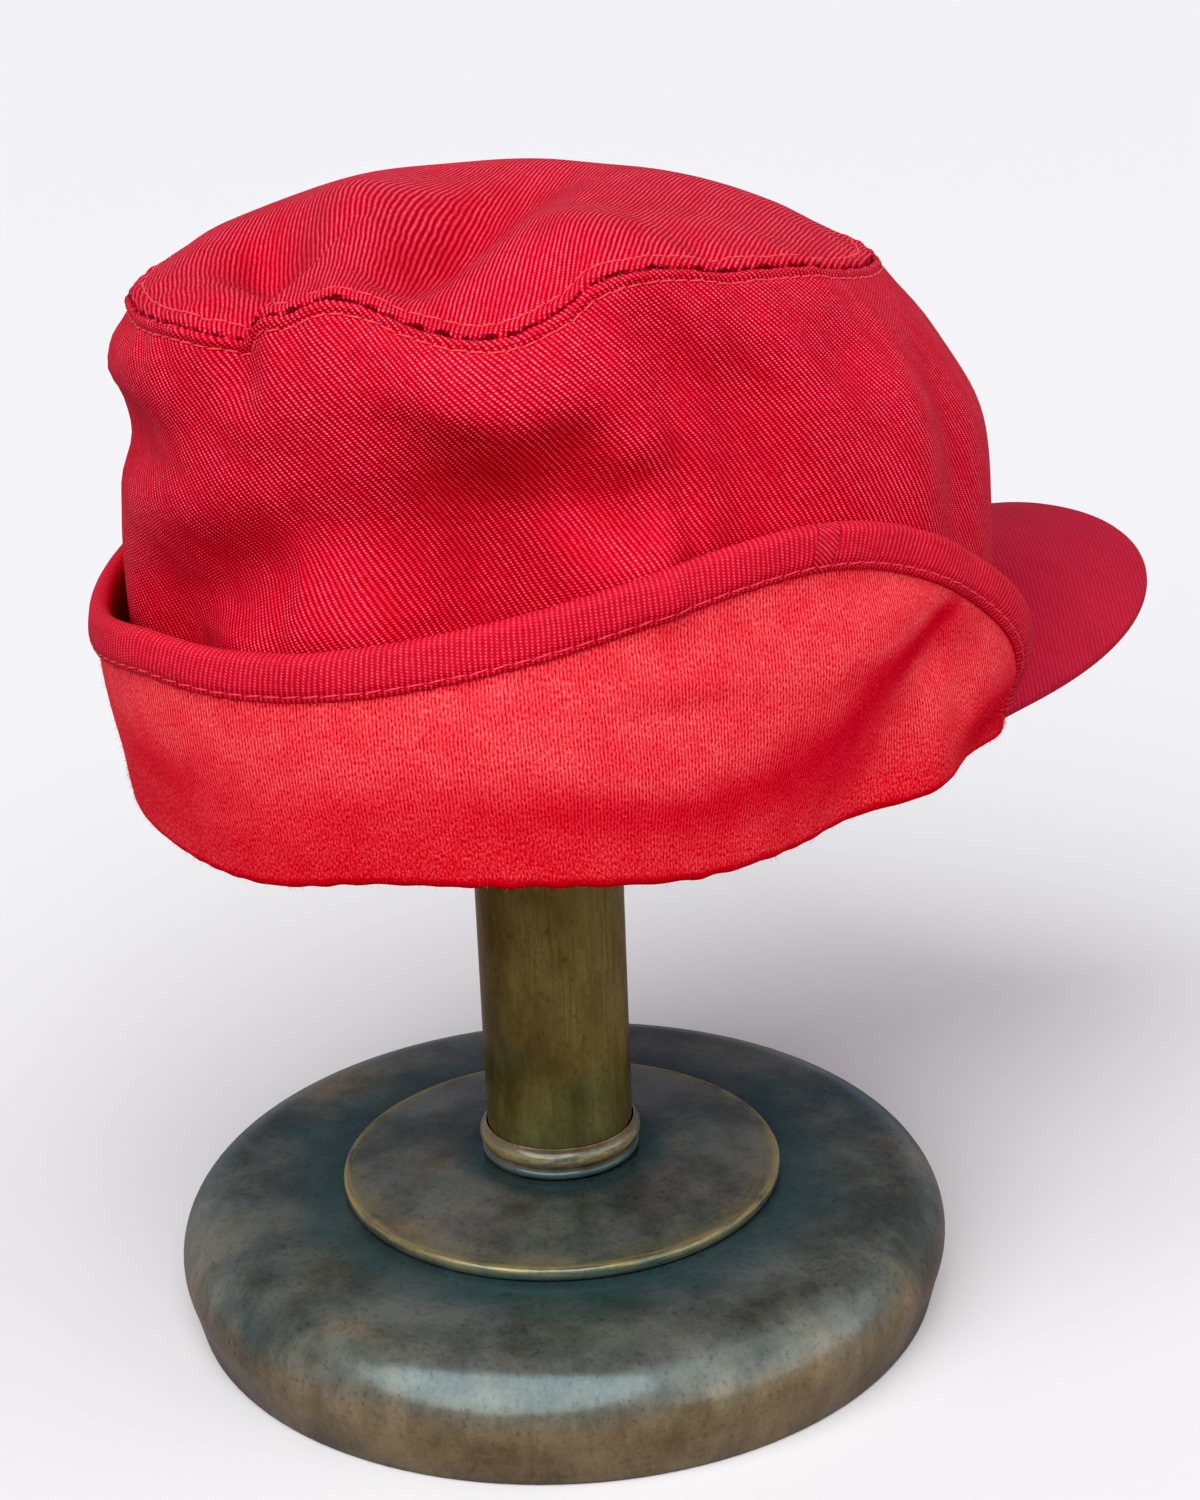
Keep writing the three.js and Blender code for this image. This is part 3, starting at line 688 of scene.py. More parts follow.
top_plan = top_grid[..., :2]
pulled = SKEW_REACH * np.tanh((top_plan @ ALONG_WALES - SKEW_START) / SKEW_REACH)
skew = SKEW * smoothstep(-top_plan @ ACROSS_WALES, SKEW_FROM, SKEW_FULL) * pulled
top_pattern = top_plan + skew[..., None] * ACROSS_WALES
crown_top = make_panel("top_panel", top_face, top_pattern, top_normals, TWILL_THICKNESS, True,
                       from_seam=top_to_seam, hollow=hollow_share(-top_lift))
put_in_frame(crown_top, "crown_top")
most_pulled = round(np.abs(skew).max(), 1)
print("top panel", len(crown_top.data.polygons), "faces, grain pulled by up to", most_pulled, "mm")

# %% [markdown]
# ## The turned-up flap
# The flap is two layers: a brushed lining that comes from inside the crown, rolls round the bottom and runs
# up the outside, and a twill shell behind it that wraps over the free edge as a hem. Both are laid out on
# one flat plan, as a bearing and a height above the crown's lower edge, and then wrapped round the crown.

# %% Plan of the flap
MM_PER_DEGREE = math.pi * (WALL_SECTIONS[0][1] + WALL_SECTIONS[0][2]) / 360
BACK_HEIGHT = FLAP_EDGE[-1][1]
FLAP_COLUMNS = 440
FLARE = 2.2
FLARE_BEARING = 70
FLARE_SPREAD = 22
FLAP_BELLY = 1.6
END_BLEND = 0.2
edge_knots = np.array([(bearing * MM_PER_DEGREE, height) for bearing, height in FLAP_EDGE])
half_edge = curve_through(edge_knots, 200)
half_length = lengths_along(half_edge, 0)
half_tangent = unit(np.gradient(half_edge, axis=0))
flap_along = np.linspace(0, 1, FLAP_COLUMNS + 1)
is_right = flap_along <= 0.5
edge_share = np.where(is_right, 2 * flap_along, 2 - 2 * flap_along) * half_length[-1]
edge_spot = read_along(edge_share, half_length, half_edge)
edge_tangent = read_along(edge_share, half_length, half_tangent)
print("free edge", round(2 * half_length[-1]), "mm long")


def flap_edge(drawn_in):
    """Bearing and height of a line drawn in from the free edge."""
    turn = (edge_spot[:, 0] + edge_tangent[:, 1] * drawn_in) / MM_PER_DEGREE
    bearing = np.where(is_right, turn, 360 - turn)
    drop = smooth_table(FLAP_LIE, 2, bearing, 360)
    return bearing, np.maximum(edge_spot[:, 1] - edge_tangent[:, 0] * drawn_in - drop, 0.5)


def flap_bottom(drawn_in):
    """Bearings along the bottom fold, which ends square below the ends of the drawn-in line."""
    bearing, _ = flap_edge(drawn_in)
    end = np.where(is_right, bearing[0], bearing[-1])
    blend = smoothstep(np.minimum(flap_along, 1 - flap_along), 0, END_BLEND)
    return end + (bearing - end) * blend


def front_flare(bearing):
    """The stiff front end lies straight, so it stands off where the crown curves away."""
    past = np.clip((FLARE_BEARING - np.abs(bearing_turn(0, bearing))) / FLARE_SPREAD, 0, 1.2)
    return FLARE * past * past


def flap_place(share, drawn_in):
    """Bearings and heights of a row at a share of the way from the bottom (0) to a drawn-in line (1)."""
    edge_bearing, edge_height = flap_edge(drawn_in)
    bottom = flap_bottom(drawn_in)
    return bottom + (edge_bearing - bottom) * share, edge_height * share


def flap_point(share, drawn_in, stand_off, loose=1.0):
    """One row of points of the flap, held off the crown."""
    bearing, height = flap_place(share, drawn_in)
    lean = smooth_table(FLAP_LIE, 1, bearing, 360) * height / BACK_HEIGHT
    belly = FLAP_BELLY * np.sin(np.pi * np.minimum(height / BACK_HEIGHT, 1))
    pushed = np.maximum(-dent_depth(WALL_DENTS, bearing, height / (SEAM_HEIGHT - CROWN_FOOT)), 0)
    off = stand_off + lean + belly + pushed + loose * front_flare(bearing)
    points = crown_outline(bearing, CROWN_FOOT + height, off)
    points[:, 2] -= smooth_table(FLAP_SAG, 1, bearing, 360) * (1 - share)
    return points


# %% Lining
SHELL_IN = 0.4
LINING_OUT = 3.4
LINING_IN = -3.2
SHELL_OUT = 4.8
HEM_TUCK = 4
LINING_RETURN = 14
LINING_THICKNESS = 1.4
RETURN_ROWS = 6
FOLD_STEPS = 14
FACE_ROWS = 46
FOLD_LUMPS = 0.14
RIGHT_FLAP_COLUMN = FLAP_COLUMNS // 4
lining_rows = []
lining_foot = flap_bottom(HEM_TUCK)
for share in np.linspace(1, 0, RETURN_ROWS + 1)[:-1]:
    inside = crown_outline(lining_foot, CROWN_FOOT + LINING_RETURN * share, LINING_IN)
    inside[:, 2] -= smooth_table(FLAP_SAG, 1, lining_foot, 360) * (1 - share)
    lining_rows.append(inside)
fold_radius = (LINING_OUT - LINING_IN) / 2
fold_lumps = FOLD_LUMPS * unevenness(flap_along, 60, 71, 11)
for turn in np.linspace(0, math.pi, FOLD_STEPS + 1):
    round_fold = 0.5 - 0.5 * math.cos(turn)
    fold = flap_point(0, HEM_TUCK, LINING_IN + 2 * fold_radius * round_fold, round_fold)
    fold[:, 2] -= (fold_radius + fold_lumps) * math.sin(turn)
    lining_rows.append(fold)
for share in np.linspace(0, 1, FACE_ROWS + 1)[1:]:
    lining_rows.append(flap_point(share, HEM_TUCK, LINING_OUT))
lining_grid = np.array(lining_rows)
lining_normals = looking(grid_normals(lining_grid, False), 40, RIGHT_FLAP_COLUMN, TO_RIGHT)
lining_climb = lengths_along(lining_grid, 0)
lining_run = lengths_along(lining_grid[30], 0)
lining_pattern = np.stack(np.broadcast_arrays(lining_run[None, :], lining_climb), axis=-1)
lining = make_panel("flap_lining", lining_grid, lining_pattern, lining_normals, LINING_THICKNESS, False,
                    faces_up=lining_normals[..., 2])
put_in_frame(lining, "earflap_lining")
print("lining", round(lining_run[-1]), "mm long,", len(lining.data.polygons), "faces")

# %% Shell and hem
HEM_WIDTH = 9.2
HEM_ROW = 1.4
HEM_ROWS = 14
HEM_MIDDLE = -8
HEM_PUFF = 0.35
HEM_DIP = 0.4
HEM_ROLL = 0.9
HEM_PUCKER = 0.08
SHELL_THICKNESS = 0.9
SHELL_ROWS = 40
wrap = (SHELL_OUT - SHELL_IN) / 2
hem_pucker = HEM_PUCKER * unevenness(flap_along, 110, 72)
shell_rows = [flap_point(share, wrap, SHELL_IN) for share in np.linspace(0, 1, SHELL_ROWS)]
for turn in np.linspace(0, math.pi, FOLD_STEPS + 1)[1:]:
    over = wrap * math.sin(turn)
    shell_rows.append(flap_point(1, wrap - over, SHELL_IN + wrap - wrap * math.cos(turn)))
for drawn_in in np.linspace(wrap, HEM_WIDTH, HEM_ROWS + 1)[1:]:
    from_edge = HEM_WIDTH - drawn_in
    puff = HEM_PUFF * math.sin(math.pi * (drawn_in - wrap) / (HEM_WIDTH - wrap))
    dip = -HEM_DIP * math.exp(-((from_edge - HEM_ROW) / 0.6) ** 2)
    roll = -HEM_ROLL * math.exp(-(from_edge / 0.5) ** 2)
    pucker = hem_pucker * math.exp(-((from_edge - HEM_ROW) / 2) ** 2)
    shell_rows.append(flap_point(1, drawn_in + pucker, SHELL_OUT + puff + dip + roll + pucker))
shell_grid = np.array(shell_rows)
shell_normals = looking(grid_normals(shell_grid, False), -6, RIGHT_FLAP_COLUMN, TO_RIGHT)
shell_climb = lengths_along(shell_grid, 0)
shell_run = lengths_along(shell_grid[HEM_MIDDLE], 0)
shell_pattern = np.stack(np.broadcast_arrays(shell_run[None, :], -shell_climb), axis=-1)
shell = make_panel("flap_hem", shell_grid, shell_pattern, shell_normals, SHELL_THICKNESS, False)
put_in_frame(shell, "earflap_shell")
print("shell and hem", round(shell_run[-1]), "mm long,", len(shell.data.polygons), "faces")

# %% [markdown]
# ## The peak
# The peak is a stiff board in a twill cover. One sheet goes out over the top, round the rim and back under,
# and closes on itself at the root, so its rim is round and not a cut edge.

# %% Peak
PEAK_REACH = 72
PEAK_FAN = 12
PEAK_FLATNESS = 3.8
PEAK_TAPER = 1.45
PEAK_CLEAR = 0.3
PEAK_COLUMNS = 160
RIM_STEPS = 8
peak_side = 1 - 2 * np.linspace(0, 1, PEAK_COLUMNS + 1)
peak_fan = np.radians(PEAK_FAN * peak_side)
outwards = np.stack([-np.sin(peak_fan), -np.cos(peak_fan), np.zeros_like(peak_fan)], axis=-1)


def peak_row(out, drop):
    """One row across the peak, at a share of the way out and a drop below its upper face."""
    foot = crown_outline(PEAK_BEARING * peak_side, np.full_like(peak_side, CROWN_FOOT), PEAK_CLEAR)
    root = crown_outline(PEAK_BEARING * peak_side, peak_height(foot[:, 0], 0), PEAK_CLEAR)
    reach = PEAK_REACH * (1 - np.abs(peak_side) ** PEAK_FLATNESS) ** PEAK_TAPER * out
    x, y = (root + outwards * reach[:, None])[:, :2].T
    return np.stack([x, y, peak_height(x, reach) - drop], axis=-1)


rim = PEAK_THICKNESS / 2
peak_rows = [peak_row(out, 0) for out in np.linspace(0, 1, 44)]
for turn in np.linspace(0, math.pi, RIM_STEPS + 1)[1:-1]:
    peak_rows.append(peak_row(1, rim - rim * math.cos(turn)) + outwards * rim * math.sin(turn))
peak_rows += [peak_row(out, PEAK_THICKNESS) for out in np.linspace(1, 0, 24)]
peak_rows.append(peak_rows[0])
peak_grid = np.array(peak_rows)
peak_normals = looking(grid_normals(peak_grid, False), 20, PEAK_COLUMNS // 2, UPWARDS)
peak = sheet_piece("covered_peak", peak_grid, peak_grid[..., :2])
face_outwards(peak, peak_normals)
close_ring(peak)
edit_whole(peak, bpy.ops.mesh.fill_holes, sides=0)
bpy.ops.object.shade_smooth_by_angle(angle=math.radians(60))
put_in_frame(peak, "peak")
print("peak", len(peak.data.polygons), "faces")

# %% [markdown]
# ## Topstitching
# A machine leaves a row of short raised stitches on each side of the top seam and one row along the hem.
# One stitch is modelled from a small ball: stretched, flattened, and its ends pushed down into the cloth.
# The row is then made of copies, each turned along its line.

# %% One stitch
def model_stitch(length, width, height):
    bpy.ops.object.select_all(action="DESELECT")
    bpy.ops.mesh.primitive_uv_sphere_add(segments=8, ring_count=6, radius=0.5 * MM)
    model = bpy.context.object
    bpy.ops.object.mode_set(mode="EDIT")
    bpy.ops.mesh.select_all(action="SELECT")
    bpy.ops.transform.rotate(value=math.pi / 2, orient_axis="Y", center_override=(0, 0, 0))
    bpy.ops.transform.resize(value=(length, width, height))
    bpy.ops.mesh.select_all(action="DESELECT")
    bpy.ops.object.mode_set(mode="OBJECT")
    for vertex in model.data.vertices:
        vertex.select = abs(vertex.co.x) > 0.4 * length * MM
    bpy.ops.object.mode_set(mode="EDIT")
    bpy.ops.mesh.select_mode(type="VERT")
    bpy.ops.transform.translate(value=(0, 0, -0.3 * height * MM))
    bpy.ops.object.mode_set(mode="OBJECT")
    return model


# %% Rows of copies
STITCH_REACH = 0.8


def line_at(face, normals, distance, wanted):
    """The line of a sheet that runs at a wanted distance from its seam, and the normals along it."""
    order = np.argsort(distance[:, 0])
    line, up = [], []
    for column in range(face.shape[1]):
        spots = distance[order, column]
        line.append(read_along(wanted, spots, face[order, column]))
        up.append(read_along(wanted, spots, normals[order, column]))
    return np.array(line), np.array(up)


def joined_copies(name, model, spots, turns):
    """One mesh of many copies of a model, each at a spot in mm and turned by three axes of its own."""
    shape = np.array([vertex.co for vertex in model.data.vertices])
    faces = [list(face.vertices) for face in model.data.polygons]
    points = spots[:, None] * MM + shape @ turns
    joined = [[corner + len(shape) * i for corner in face] for i in range(len(spots)) for face in faces]
    mesh = bpy.data.meshes.new(name)
    mesh.from_pydata(points.reshape(-1, 3).tolist(), [], joined)
    piece = bpy.data.objects.new(name, mesh)
    bpy.context.collection.objects.link(piece)
    bpy.ops.object.select_all(action="DESELECT")
    piece.select_set(True)
    bpy.context.view_layer.objects.active = piece
    bpy.ops.object.shade_smooth()
    return piece


def sew_row(name, model, line, normals, pitch, lift, seed):
    """Copies a stitch along a line, each copy turned along it and set at a slightly uneven slant."""
    chance = np.random.default_rng(seed)
    run = lengths_along(line, 0)
    count = int(run[-1] / pitch)
    places = (np.arange(count) + 0.5) * run[-1] / count
    spot = read_along(places, run, line)
    along = unit(read_along(places + STITCH_REACH, run, line) - read_along(places - STITCH_REACH, run, line))
    aside = unit(np.cross(read_along(places, run, normals), along))
    slant = chance.normal(0.07, 0.04, (count, 1))
    along, aside = along + slant * aside, aside - slant * along
    up = np.cross(along, aside)
    row = joined_copies(name, model, spot + up * lift, np.stack([along, aside, up], axis=1))
    put_in_frame(row)
    print(name, count, "stitches")
    return row


# %% Sew the seam and the hem
# length, width and height of a stitch
SEAM_STITCH = (3.4, 0.44, 0.38)
HEM_STITCH = (3.7, 0.34, 0.3)
SEAM_PITCH = 3.3
HEM_PITCH = 4
HEM_SEWN = slice(4, -4)
stitch = model_stitch(*SEAM_STITCH)
lower_line, lower_up = line_at(wall_face, wall_normals, wall_to_seam, LOWER_ROW)
upper_line, upper_up = line_at(top_face, top_normals, top_to_seam, UPPER_ROW)
lower_stitches = sew_row("side_stitches", stitch, lower_line, lower_up, SEAM_PITCH, 0.12, 3)
upper_stitches = sew_row("top_stitches", stitch, upper_line, upper_up, SEAM_PITCH, 0.12, 4)
bpy.data.objects.remove(stitch)
hem_stitch = model_stitch(*HEM_STITCH)
hem_line = flap_point(1, HEM_WIDTH - HEM_ROW, SHELL_OUT - 0.1)[HEM_SEWN]
hem_up = shell_normals[-4, HEM_SEWN]
hem_stitches = sew_row("hem_stitches", hem_stitch, hem_line, hem_up, HEM_PITCH, 0.06, 5)
bpy.data.objects.remove(hem_stitch)

# %% [markdown]
# ## Nap
# Brushing pulls loose fibres out of the knit, and they show against the light as a thin fuzz on the lining,
# and most of all on its bottom roll. One fibre is a long thin cone with its tip pushed aside. Thousands of
# copies are set over the sheet, lying down with the nap.

# %% One fibre
FIBRE_LENGTH = 1.5
bpy.ops.object.select_all(action="DESELECT")
bpy.ops.mesh.primitive_cone_add(vertices=3, radius1=0.045 * MM, depth=FIBRE_LENGTH * MM)
fibre_model = bpy.context.object
for vertex in fibre_model.data.vertices:
    vertex.select = vertex.co.z > 0
bpy.ops.object.mode_set(mode="EDIT")
bpy.ops.mesh.select_mode(type="VERT")
bpy.ops.transform.translate(value=(0.25 * MM, 0.1 * MM, 0))
bpy.ops.mesh.select_all(action="SELECT")
bpy.ops.transform.translate(value=(0, 0, 0.4 * FIBRE_LENGTH * MM))
bpy.ops.object.mode_set(mode="OBJECT")
print("one fibre is", FIBRE_LENGTH, "mm long")

# %% Fibres over the lining
FIBRES = 9000
SHARE_ON_ROLL = 0.6
FIRST_ROLL_ROW = 8
LAST_ROLL_ROW = 34
chance = np.random.default_rng(8)
on_roll = chance.random(FIBRES) < SHARE_ON_ROLL
roll_rows = chance.uniform(FIRST_ROLL_ROW, LAST_ROLL_ROW, FIBRES)
face_rows = chance.uniform(LAST_ROLL_ROW, len(lining_grid) - 2, FIBRES)
rows = np.where(on_roll, roll_rows, face_rows).astype(int)
columns = chance.integers(0, FLAP_COLUMNS, FIBRES)
share = chance.random((2, FIBRES, 1))
roots = lining_grid[rows, columns]
roots = roots + (lining_grid[rows + 1, columns] - roots) * share[0]
roots = roots + (lining_grid[rows, columns + 1] - lining_grid[rows, columns]) * share[1]
lift = lining_normals[rows, columns]
lie = lining_grid[rows - 1, columns] - lining_grid[rows, columns]
tip = unit(0.55 * lift + 0.6 * unit(lie) + chance.normal(0, 0.45, (FIBRES, 3)))
across = unit(np.cross(tip, lift), 1e-6)
turns = np.stack([across, np.cross(tip, across), tip], axis=1)
lengths = chance.uniform(0.5, 1.1, (FIBRES, 1, 1))
nap_fibres = joined_copies("nap_fibres", fibre_model, roots, turns * lengths)
bpy.data.objects.remove(fibre_model)
put_in_frame(nap_fibres)
print(FIBRES, "fibres,", len(nap_fibres.data.polygons), "faces")

# %% [markdown]
# ## Node tools
# Materials are built from a few small helpers: one adds a node, one sets or links a socket, and one chains
# sums. An effect that several materials share is a node group with named inputs and outputs.

# %% Helpers for nodes
def add(tree, kind, **settings):
    node = tree.nodes.new("ShaderNode" + kind)
    for key, value in settings.items():
        setattr(node, key, value)
    return node


def feed(tree, socket, value):
    """Sets a socket to a number or colour, or links it to another node's output."""
    if isinstance(value, bpy.types.NodeSocket):
        tree.links.new(value, socket)
    else:
        socket.default_value = value


def sums(tree, operation, *values):
    node = add(tree, "Math", operation=operation)
    for socket, value in zip(node.inputs, values):
        feed(tree, socket, value)
    return node.outputs[0]


def ramp(tree, value, low, high, to_low=0.0, to_high=1.0):
    node = add(tree, "MapRange", interpolation_type="SMOOTHSTEP")
    for socket, given in zip(node.inputs, (value, low, high, to_low, to_high)):
        feed(tree, socket, given)
    return node.outputs[0]


def cloud(tree, place, scale, detail=2.0, roughness=0.5):
    """Noise of about 0 to 1 at a place."""
    node = add(tree, "TexNoise")
    feed(tree, node.inputs["Vector"], place)
    feed(tree, node.inputs["Scale"], scale)
    feed(tree, node.inputs["Detail"], detail)
    feed(tree, node.inputs["Roughness"], roughness)
    return node.outputs[0]


def blend(tree, share, first, second, way="MIX"):
    node = add(tree, "Mix", data_type="RGBA", blend_type=way)
    for index, value in ((0, share), (6, first), (7, second)):
        feed(tree, node.inputs[index], value)
    return node.outputs[2]


def tinted(tree, colour, tint, share=1.0):
    return blend(tree, share, colour, tint, "MULTIPLY")


def split(tree, vector):
    node = add(tree, "SeparateXYZ")
    feed(tree, node.inputs[0], vector)
    return node.outputs


def joined_vector(tree, x, y, z):
    node = add(tree, "CombineXYZ")
    for socket, value in zip(node.inputs, (x, y, z)):
        feed(tree, socket, value)
    return node.outputs[0]


def new_group(name, inputs, outputs):
    group = bpy.data.node_groups.new(name, "ShaderNodeTree")
    for label, kind, value in inputs:
        socket = group.interface.new_socket(label, in_out="INPUT", socket_type="NodeSocket" + kind)
        if value is not None:
            socket.default_value = value
    for label, kind in outputs:
        group.interface.new_socket(label, in_out="OUTPUT", socket_type="NodeSocket" + kind)
    return group, group.nodes.new("NodeGroupInput").outputs, group.nodes.new("NodeGroupOutput").inputs


def place_group(tree, group, **values):
    node = add(tree, "Group", node_tree=group)
    for label, value in values.items():
        feed(tree, node.inputs[label.replace("_", " ")], value)
    return node.outputs


def new_material(name):
    material = bpy.data.materials.new(name)
    material.use_nodes = True
    tree = material.node_tree
    return material, tree, tree.nodes["Principled BSDF"].inputs


def flat_place(tree):
    """Place on the flat cloth, from the piece's own UV map."""
    return add(tree, "UVMap", uv_map="UVMap").outputs[0]


def own_place(tree):
    """Place in the piece's own coordinates."""
    return add(tree, "TexCoord").outputs["Object"]


def kept_value(tree, name):
    """A number that the piece keeps for each of its points."""
    return add(tree, "Attribute", attribute_name=name).outputs["Fac"]


def bump(tree, height, distance, strength=1.0):
    node = add(tree, "Bump")
    feed(tree, node.inputs["Strength"], strength)
    feed(tree, node.inputs["Distance"], distance)
    feed(tree, node.inputs["Height"], height)
    return node.outputs[0]


# %% [markdown]
# ## Twill
# Twill shows as slanted ridges, called wales, about a millimetre apart, each made of short yarn floats. The
# group turns the cloth's flat sizes to lie along the wales, makes a ridge from a cosine and breaks it into
# floats with a second one. Noise bends the lines a little and makes some yarns paler, as in washed cotton.
# Washing also fades the cloth in soft streaks along the wales. Where the cloth stands proud its wales are
# painted paler, as painted light, and in its dents a deeper red, as painted shade.

# %% Twill group
twill_weave, given, result = new_group(
    "twill weave",
    [("Cloth", "Vector", None), ("Wale", "Float", 0.001), ("Slant", "Float", 1.0)],
    [("Ridge", "Float"), ("Line", "Float"), ("Height", "Float"), ("Yarn", "Float"), ("Tone", "Float"),
     ("Fade", "Float")],
)
tree = twill_weave
waver = add(tree, "TexNoise")
feed(tree, waver.inputs["Vector"], given["Cloth"])
feed(tree, waver.inputs["Scale"], 110.0)
shift = add(tree, "VectorMath", operation="MULTIPLY_ADD")
feed(tree, shift.inputs[0], waver.outputs["Color"])
shift.inputs[1].default_value = (0.0009, 0.0009, 0)
feed(tree, shift.inputs[2], given["Cloth"])
turned = add(tree, "VectorRotate", rotation_type="Z_AXIS")
feed(tree, turned.inputs["Vector"], shift.outputs[0])
feed(tree, turned.inputs["Angle"], sums(tree, "MULTIPLY", given["Slant"], -1.0))
along, across, _ = split(tree, turned.outputs[0])
wale = sums(tree, "DIVIDE", across, given["Wale"])
wave = sums(tree, "COSINE", sums(tree, "MULTIPLY", wale, 2 * math.pi))
ridge = sums(tree, "MULTIPLY_ADD", wave, 0.5, 0.5)
yarn_place = joined_vector(tree, sums(tree, "MULTIPLY", along, 0.5), across, 0.0)
yarn = cloud(tree, yarn_place, 1700.0, 3.0, 0.6)
float_run = sums(tree, "DIVIDE", along, sums(tree, "MULTIPLY", given["Wale"], 0.55))
float_turn = sums(tree, "MULTIPLY_ADD", wale, 0.5, float_run)
float_wave = sums(tree, "COSINE", sums(tree, "MULTIPLY", float_turn, 2 * math.pi))
floats = sums(tree, "MULTIPLY_ADD", float_wave, 0.3, 0.7)
uneven = sums(tree, "MULTIPLY_ADD", yarn, 1.1, -0.55)
feed(tree, result["Ridge"], sums(tree, "ADD", ridge, uneven))
crest = sums(tree, "MULTIPLY_ADD", ridge, floats, uneven)
feed(tree, result["Line"], ramp(tree, crest, 0.5, 1.0))
height = sums(tree, "MULTIPLY", sums(tree, "POWER", ridge, 0.8), floats)
feed(tree, result["Height"], sums(tree, "MULTIPLY_ADD", yarn, 0.35, height))
feed(tree, result["Yarn"], yarn)
u, v, _ = split(tree, given["Cloth"])
slub_place = joined_vector(tree, sums(tree, "MULTIPLY", u, 0.12), v, 0.0)
slubs = cloud(tree, slub_place, 420.0, 3.0, 0.6)
patches = cloud(tree, given["Cloth"], 45.0, 4.0, 0.6)
feed(tree, result["Tone"], sums(tree, "MULTIPLY_ADD", slubs, 0.45, sums(tree, "MULTIPLY", patches, 0.55)))
fade_place = joined_vector(tree, sums(tree, "MULTIPLY", along, 0.33), across, 0.0)
feed(tree, result["Fade"], cloud(tree, fade_place, 200.0, 3.0, 0.6))
print("twill group has", len(tree.nodes), "nodes")

# %% Twill of the crown
PALE_RED = (0.9, 0.18, 0.24, 1)
BODY_RED = (0.64, 0.017, 0.043, 1)
FURROW_RED = (0.42, 0.003, 0.013, 1)
# very dark red painted into seam grooves as painted shade
GROOVE_SHADE_RED = (0.1, 0.0005, 0.005, 1)
FRAY_PINK = (0.85, 0.3, 0.4, 1)
SHEEN_PINK = (1, 0.6, 0.7, 1)


def twill_colours(tree, weave, furrow, paleness):
    """Red wales between darker furrows, with pale worn floats on top and broad uneven fading."""
    colour = blend(tree, ramp(tree, weave["Ridge"], 0.0, 0.6), furrow, BODY_RED)
    colour = blend(tree, sums(tree, "MULTIPLY", weave["Line"], paleness), colour, PALE_RED)
    tone = ramp(tree, weave["Tone"], 0.3, 0.7, 0.9, 1.06)
    return tinted(tree, colour, joined_vector(tree, tone, tone, tone))


def finish_twill(tree, shader, colour, weave, height):
    feed(tree, shader["Base Color"], colour)
    feed(tree, shader["Roughness"], ramp(tree, weave["Yarn"], 0.2, 0.8, 0.85, 0.7))
    shader["Specular IOR Level"].default_value = 0.2
    shader["Sheen Weight"].default_value = 0.04
    shader["Sheen Roughness"].default_value = 0.5
    shader["Sheen Tint"].default_value = SHEEN_PINK
    feed(tree, shader["Normal"], bump(tree, height, 0.00026, 0.7))


def seamed_twill(name, slant, wale):
    """Twill of a panel whose sewn edge is worn and a little frayed, with painted shade in its ragged seam
    groove.
    """
    material, tree, shader = new_material(name)
    cloth = flat_place(tree)
    weave = place_group(tree, twill_weave, Cloth=cloth, Wale=wale, Slant=math.radians(slant))
    # painted light and shade: paler wales where the cloth stands proud, deeper red ones in its dents
    painted_light_and_shade = ramp(tree, kept_value(tree, "hollow"), PROUD, 0.6, 1.25, 0.55)
    faded = ramp(tree, weave["Fade"], 0.36, 0.64, 0.65, 1.6)
    colour = twill_colours(tree, weave, FURROW_RED, sums(tree, "MULTIPLY", painted_light_and_shade, faded))
    from_seam = kept_value(tree, "from_seam")
    ragged = cloud(tree, cloth, 420.0, 3.0, 0.6)
    reach = sums(tree, "MULTIPLY_ADD", ragged, 1.8, -0.45)
    # painted shade: the ragged seam groove is painted a very dark red
    groove = ramp(tree, sums(tree, "SUBTRACT", from_seam, reach), -0.2, 0.25, 0.9, 0.0)
    colour = blend(tree, groove, colour, GROOVE_SHADE_RED)
    threads = ramp(tree, cloud(tree, cloth, 1900.0), 0.62, 0.7)
    patches = ramp(tree, cloud(tree, cloth, 150.0), 0.5, 0.62)
    near_seam = ramp(tree, from_seam, 0.3, 1.3, 0.8, 0.0)
    frayed = sums(tree, "MULTIPLY", sums(tree, "MULTIPLY", threads, patches), near_seam)
    finish_twill(tree, shader, blend(tree, frayed, colour, FRAY_PINK), weave, weave["Height"])
    return material


side_twill = seamed_twill("side_twill", 57, 0.00106)
top_twill = seamed_twill("top_twill", -54, 0.0009)
for piece, material in ((crown_side, side_twill), (crown_top, top_twill)):
    piece.data.materials.append(material)
    print(piece.name, "wears", material.name)

# %% [markdown]
# The hem is a strip cut another way, so its wales cross it. Where the strip's two ends meet there is a
# short slanted piece with the wales at another slant. A mask made from the flat sizes chooses between two
# weaves.

# %% Twill of the hem
SOFT_FURROW_RED = (0.54, 0.011, 0.03, 1)
HEM_TINT = (0.92, 1.0, 0.9, 1)
JOIN_COLUMN = 93
JOIN_WIDTH = 0.005
JOIN_LEAN = 0.36
join_u, join_v = (float(size) for size in shell_pattern[HEM_MIDDLE, JOIN_COLUMN] * MM)
hem_twill, tree, shader = new_material("hem_twill")
cloth = flat_place(tree)
strip = place_group(tree, twill_weave, Cloth=cloth, Wale=0.0011, Slant=math.radians(101))
piece_weave = place_group(tree, twill_weave, Cloth=cloth, Wale=0.0009, Slant=math.radians(42))
u, v, _ = split(tree, cloth)
from_join = sums(tree, "SUBTRACT", u, join_u)
leaned = sums(tree, "MULTIPLY_ADD", sums(tree, "SUBTRACT", v, join_v), JOIN_LEAN, from_join)
aside = sums(tree, "ABSOLUTE", leaned)
